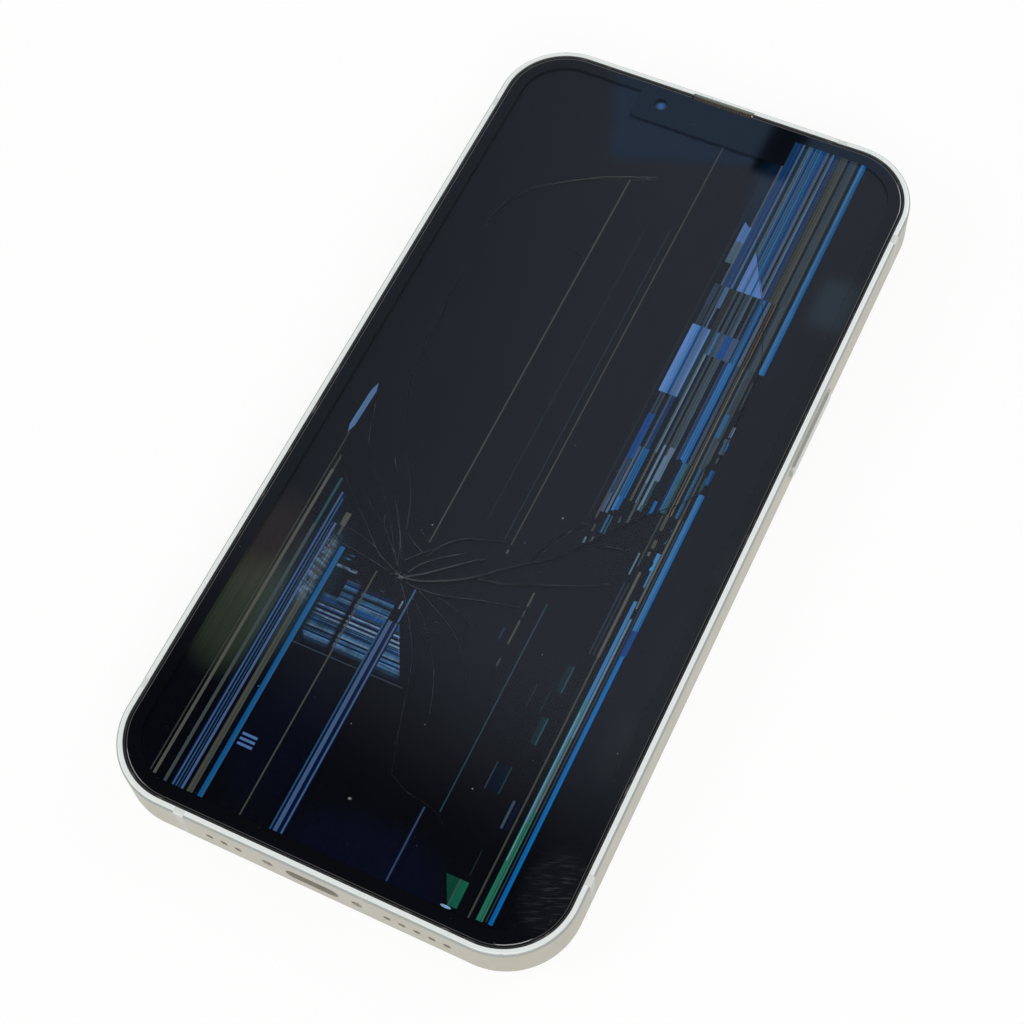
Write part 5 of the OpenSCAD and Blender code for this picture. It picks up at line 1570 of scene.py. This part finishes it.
@dataclass
class Inside:
    """Everything inside the body."""

    def metals(self) -> None:
        """Dresses the plates, brackets, cans and the copper."""
        Technical("sheet_steel", srgb(176, 178, 178), srgb(206, 207, 205), Pattern.BRUSHED, 0.35, 0.3, 0.95,
                  0.12).dress("sensor_bracket", "camera_bracket", "connector_cover", "card_reader",
                              "haptic_case", "haptic_lid")
        Technical("shield_tin", srgb(170, 172, 172), srgb(196, 197, 194), Pattern.DIMPLED, 1.1, 0.36, 0.9,
                  0.25).dress("board_shields")
        Technical("mid_plate", srgb(150, 150, 148), srgb(176, 176, 173), Pattern.BRUSHED, 0.7, 0.4, 0.85,
                  0.15).dress("mid_plate")
        Technical("switch_strip", srgb(150, 150, 146), srgb(184, 184, 178), Pattern.DIMPLED, 0.8, 0.35,
                  0.7).dress("side_button_switch", "left_switches")
        Technical("haptic_tungsten", srgb(104, 104, 106), srgb(140, 140, 142), Pattern.GRAINED, 0.18, 0.38,
                  0.9).dress("haptic_mass")
        Technical("coil_copper", srgb(132, 70, 36), srgb(204, 124, 70), Pattern.TURNS, 1.0, 0.3, 0.9,
                  0.5).dress("charging_coil")
        Technical("coil_ferrite", srgb(34, 34, 38), srgb(58, 58, 62), Pattern.FLAKES, 2.6, 0.5, 0.2,
                  0.4).dress("coil_shield")

    def circuits(self) -> None:
        """Dresses the boards, the chips and the ribbons."""
        Technical("board_mask", srgb(14, 44, 34), srgb(40, 84, 58), Pattern.TRACKS, 0.5, 0.35, relief=0.25,
                  coat=0.4).dress("logic_board_lower", "logic_board_upper", "board_interposer")
        Technical("chip_resin", (0.012, 0.012, 0.013), (0.03, 0.03, 0.03), Pattern.GRAINED, 0.12,
                  0.45).dress("board_chips")
        Technical("ribbon_amber", srgb(70, 40, 14), srgb(150, 92, 36), Pattern.TRACKS, 0.35, 0.3,
                  relief=0.15, coat=0.5).dress("display_flex", "battery_lead", "port_flex")

    def modules(self) -> None:
        """Dresses the speakers, the cameras, the flash and the battery."""
        Technical("black_moulding", (0.015, 0.015, 0.016), (0.035, 0.035, 0.037), Pattern.GRAINED, 0.2,
                  0.42).dress("loudspeaker", "earpiece_speaker", "rear_camera_upper", "rear_camera_lower")
        Technical("sensor_black", (0.01, 0.012, 0.02), (0.03, 0.035, 0.06), Pattern.TURNS, 0.8, 0.15,
                  coat=1.0).dress("front_camera", "depth_sensor")
        Technical("flash_phosphor", srgb(214, 192, 96), srgb(232, 220, 160), Pattern.GRAINED, 0.3,
                  0.5).dress("flash_module")
        CellWrap("battery_wrap", *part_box("battery")).dress("battery")
        Technical("release_tape", srgb(226, 226, 222), srgb(200, 200, 196), Pattern.RIPPLED, 2.4,
                  0.6).dress("battery_tape")

    def build(self) -> None:
        """Dresses the inner pieces."""
        for step in (self.metals, self.circuits, self.modules):
            step()


@dataclass
class Studio:
    """Pale floor that the phone rests on, soft lamps and a room that is dark overhead."""

    floor_size: float = 6.0
    floor_share: float = 0.12
    corner_in: float = 3.4
    white: Colour = (1.0, 1.0, 1.0)
    ambient: Colour = (0.62, 0.62, 0.62)
    lamps: tuple[tuple[str, Triple, float, float], ...] = (
        ("key_lamp", (0.45, -0.75, 0.8), 6.0, 0.6),
        ("fill_lamp", (-0.95, -0.55, 0.6), 4.0, 0.7),
        ("back_lamp", (0.55, 0.95, 0.45), 3.5, 0.6))

    def tilt(self) -> Matrix:
        """Works out the floor's place: the phone leans on a lens ring and on the far lower corner.

        Returns:
            The floor's turn and place.
        """
        ring_low, ring_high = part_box("lens_ring_lower")
        ring = middle("lens_ring_lower")
        low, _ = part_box("frame_bottom_left")
        corner = low + Vector((self.corner_in, self.corner_in, 0.0)) * MM
        away = Vector((corner.x - ring.x, corner.y - ring.y))
        reach = (ring_high.x - ring_low.x) / 2
        slope = (corner.z - ring_low.z) / (away.length - reach * 0.2)
        across = away.normalized()
        normal = Vector((-slope * across.x, -slope * across.y, 1.0)).normalized()
        turn = Vector((0, 0, 1)).rotation_difference(normal).to_matrix().to_4x4()
        foot = Vector((ring.x + across.x * reach, ring.y + across.y * reach, ring_low.z - 0.01 * MM))
        return Matrix.Translation(foot) @ turn

    def seen_share(self, g: Graph) -> Value:
        """Tells looks from plain light.

        Args:
            g: The material's nodes.

        Returns:
            1 for what is looked at, mirrored or seen through glass, and 0 for plain light.
        """
        looked, mirrored, through = g.outputs("LightPath", "Is Camera Ray", "Is Glossy Ray",
                                              "Is Transmission Ray")
        return (looked + mirrored + through).math("MINIMUM", 1.0)

    def floor(self) -> None:
        """Makes the floor, white to the eye, with the phone's soft shadow on it."""
        bm = bmesh.new()
        bmesh.ops.create_grid(bm, x_segments=1, y_segments=1, size=self.floor_size / 2, matrix=self.tilt())
        floor = mesh_object("floor", bm)
        material = bpy.data.materials.new("floor_white")
        material.use_nodes = True
        g = Graph(material.node_tree)
        plain = g.node("BsdfDiffuse", None, {"Color": (0.85, 0.85, 0.84)})
        white = g.node("Emission", None, {"Color": self.white, "Strength": 1.0})
        shader = g.blend_shaders(self.seen_share(g) * (1.0 - self.floor_share), plain, white)
        g.node("OutputMaterial", None, {"Surface": shader})
        floor.data.materials.append(material)

    def mirrored_room(self, g: Graph) -> Value:
        """Makes what gloss shows: white low down, and overhead a dim ceiling with a bluish window.

        Args:
            g: The world's nodes.

        Returns:
            The room's colour in each direction.
        """
        x, y, z = g.split(g.node("TexCoord", output="Generated"))
        across, along = x / z, y / z
        ceiling = (y.ease(0.26, 0.36) * 0.9 + 0.06) * (x.ease(-0.4, -0.2) * 0.5 + 0.55)
        colour = g.mix(ceiling, (0.0, 0.004, 0.016), (0.24, 0.285, 0.36))
        # The window is a slanting pane, a dark gap beside it and a lighter patch below, where across and
        # along are places on a ceiling one unit up.
        pane = (across + along * 0.38).ease(-0.066, -0.056) * (along - across * 0.348).ease(0.822, 0.832)
        colour = g.mix(pane, colour, (0.2, 0.31, 0.52))
        gap = across.ease(-0.252, -0.246) * across.ease(-0.221, -0.228) * along.ease(0.732, 0.742)
        colour = g.mix(gap, colour, (0.01, 0.03, 0.06))
        patch = across.ease(-0.182, -0.172) * across.ease(-0.152, -0.158)
        patch = patch * along.ease(0.64, 0.655) * along.ease(0.69, 0.675)
        colour = g.mix(patch * 0.8, colour, (0.36, 0.5, 0.66))
        return g.mix(z.ease(0.72, 0.55), colour, self.white)

    def room(self) -> None:
        """Makes the room: white to the eye, and dark overhead in what the glass mirrors."""
        world = bpy.data.worlds.new("room")
        bpy.context.scene.world = world
        world.use_nodes = True
        g = Graph(world.node_tree)
        looked, mirrored = g.outputs("LightPath", "Is Camera Ray", "Is Glossy Ray")
        colour = g.mix(mirrored, self.ambient, self.mirrored_room(g))
        colour = g.mix(looked, colour, self.white)
        shade = g.node("Background", None, {"Color": colour, "Strength": 1.0})
        g.node("OutputWorld", None, {"Surface": shade})

    def lamp(self, name: str, at: Triple, power: float, size: float) -> None:
        """Hangs one square lamp that looks at the phone.

        Args:
            name: The lamp's name.
            at: Its place, in metres.
            power: Its power in watts.
            size: Its side.
        """
        light = bpy.data.lights.new(name, "AREA")
        light.energy = power
        light.size = size
        lamp = bpy.data.objects.new(name, light)
        lamp.location = at
        lamp.rotation_euler = Vector(at).to_track_quat("Z", "Y").to_euler()
        bpy.context.scene.collection.objects.link(lamp)

    def build(self) -> None:
        """Makes the floor, the room and the lamps."""
        self.floor()
        self.room()
        for lamp in self.lamps:
            self.lamp(*lamp)
        bpy.context.scene.view_settings.view_transform = "Standard"


@dataclass
class Eye:
    """The camera, which looks down at the phone from its lower right."""

    place: Triple = (0.0754, -0.13465, 0.27609)
    turn: Triple = (28.29, 2.9, 25.67)
    lens: float = 71.417

    def build(self) -> None:
        """Makes the scene's camera."""
        data = bpy.data.cameras.new("eye")
        data.lens = self.lens
        data.sensor_width = 36.0
        data.clip_start = 0.01
        eye = bpy.data.objects.new("eye", data)
        eye.location = self.place
        eye.rotation_euler = [math.radians(angle) for angle in self.turn]
        bpy.context.scene.collection.objects.link(eye)
        bpy.context.scene.camera = eye


def main() -> None:
    """Builds each part of the picture in order."""
    logging.basicConfig(level=logging.INFO, format="%(message)s")
    for part in (Eye(), Body(), Face(), Back(), Openings(), Inside(), Studio()):
        log.info("building %s", type(part).__name__)
        part.build()


if __name__ == "__main__":
    main()
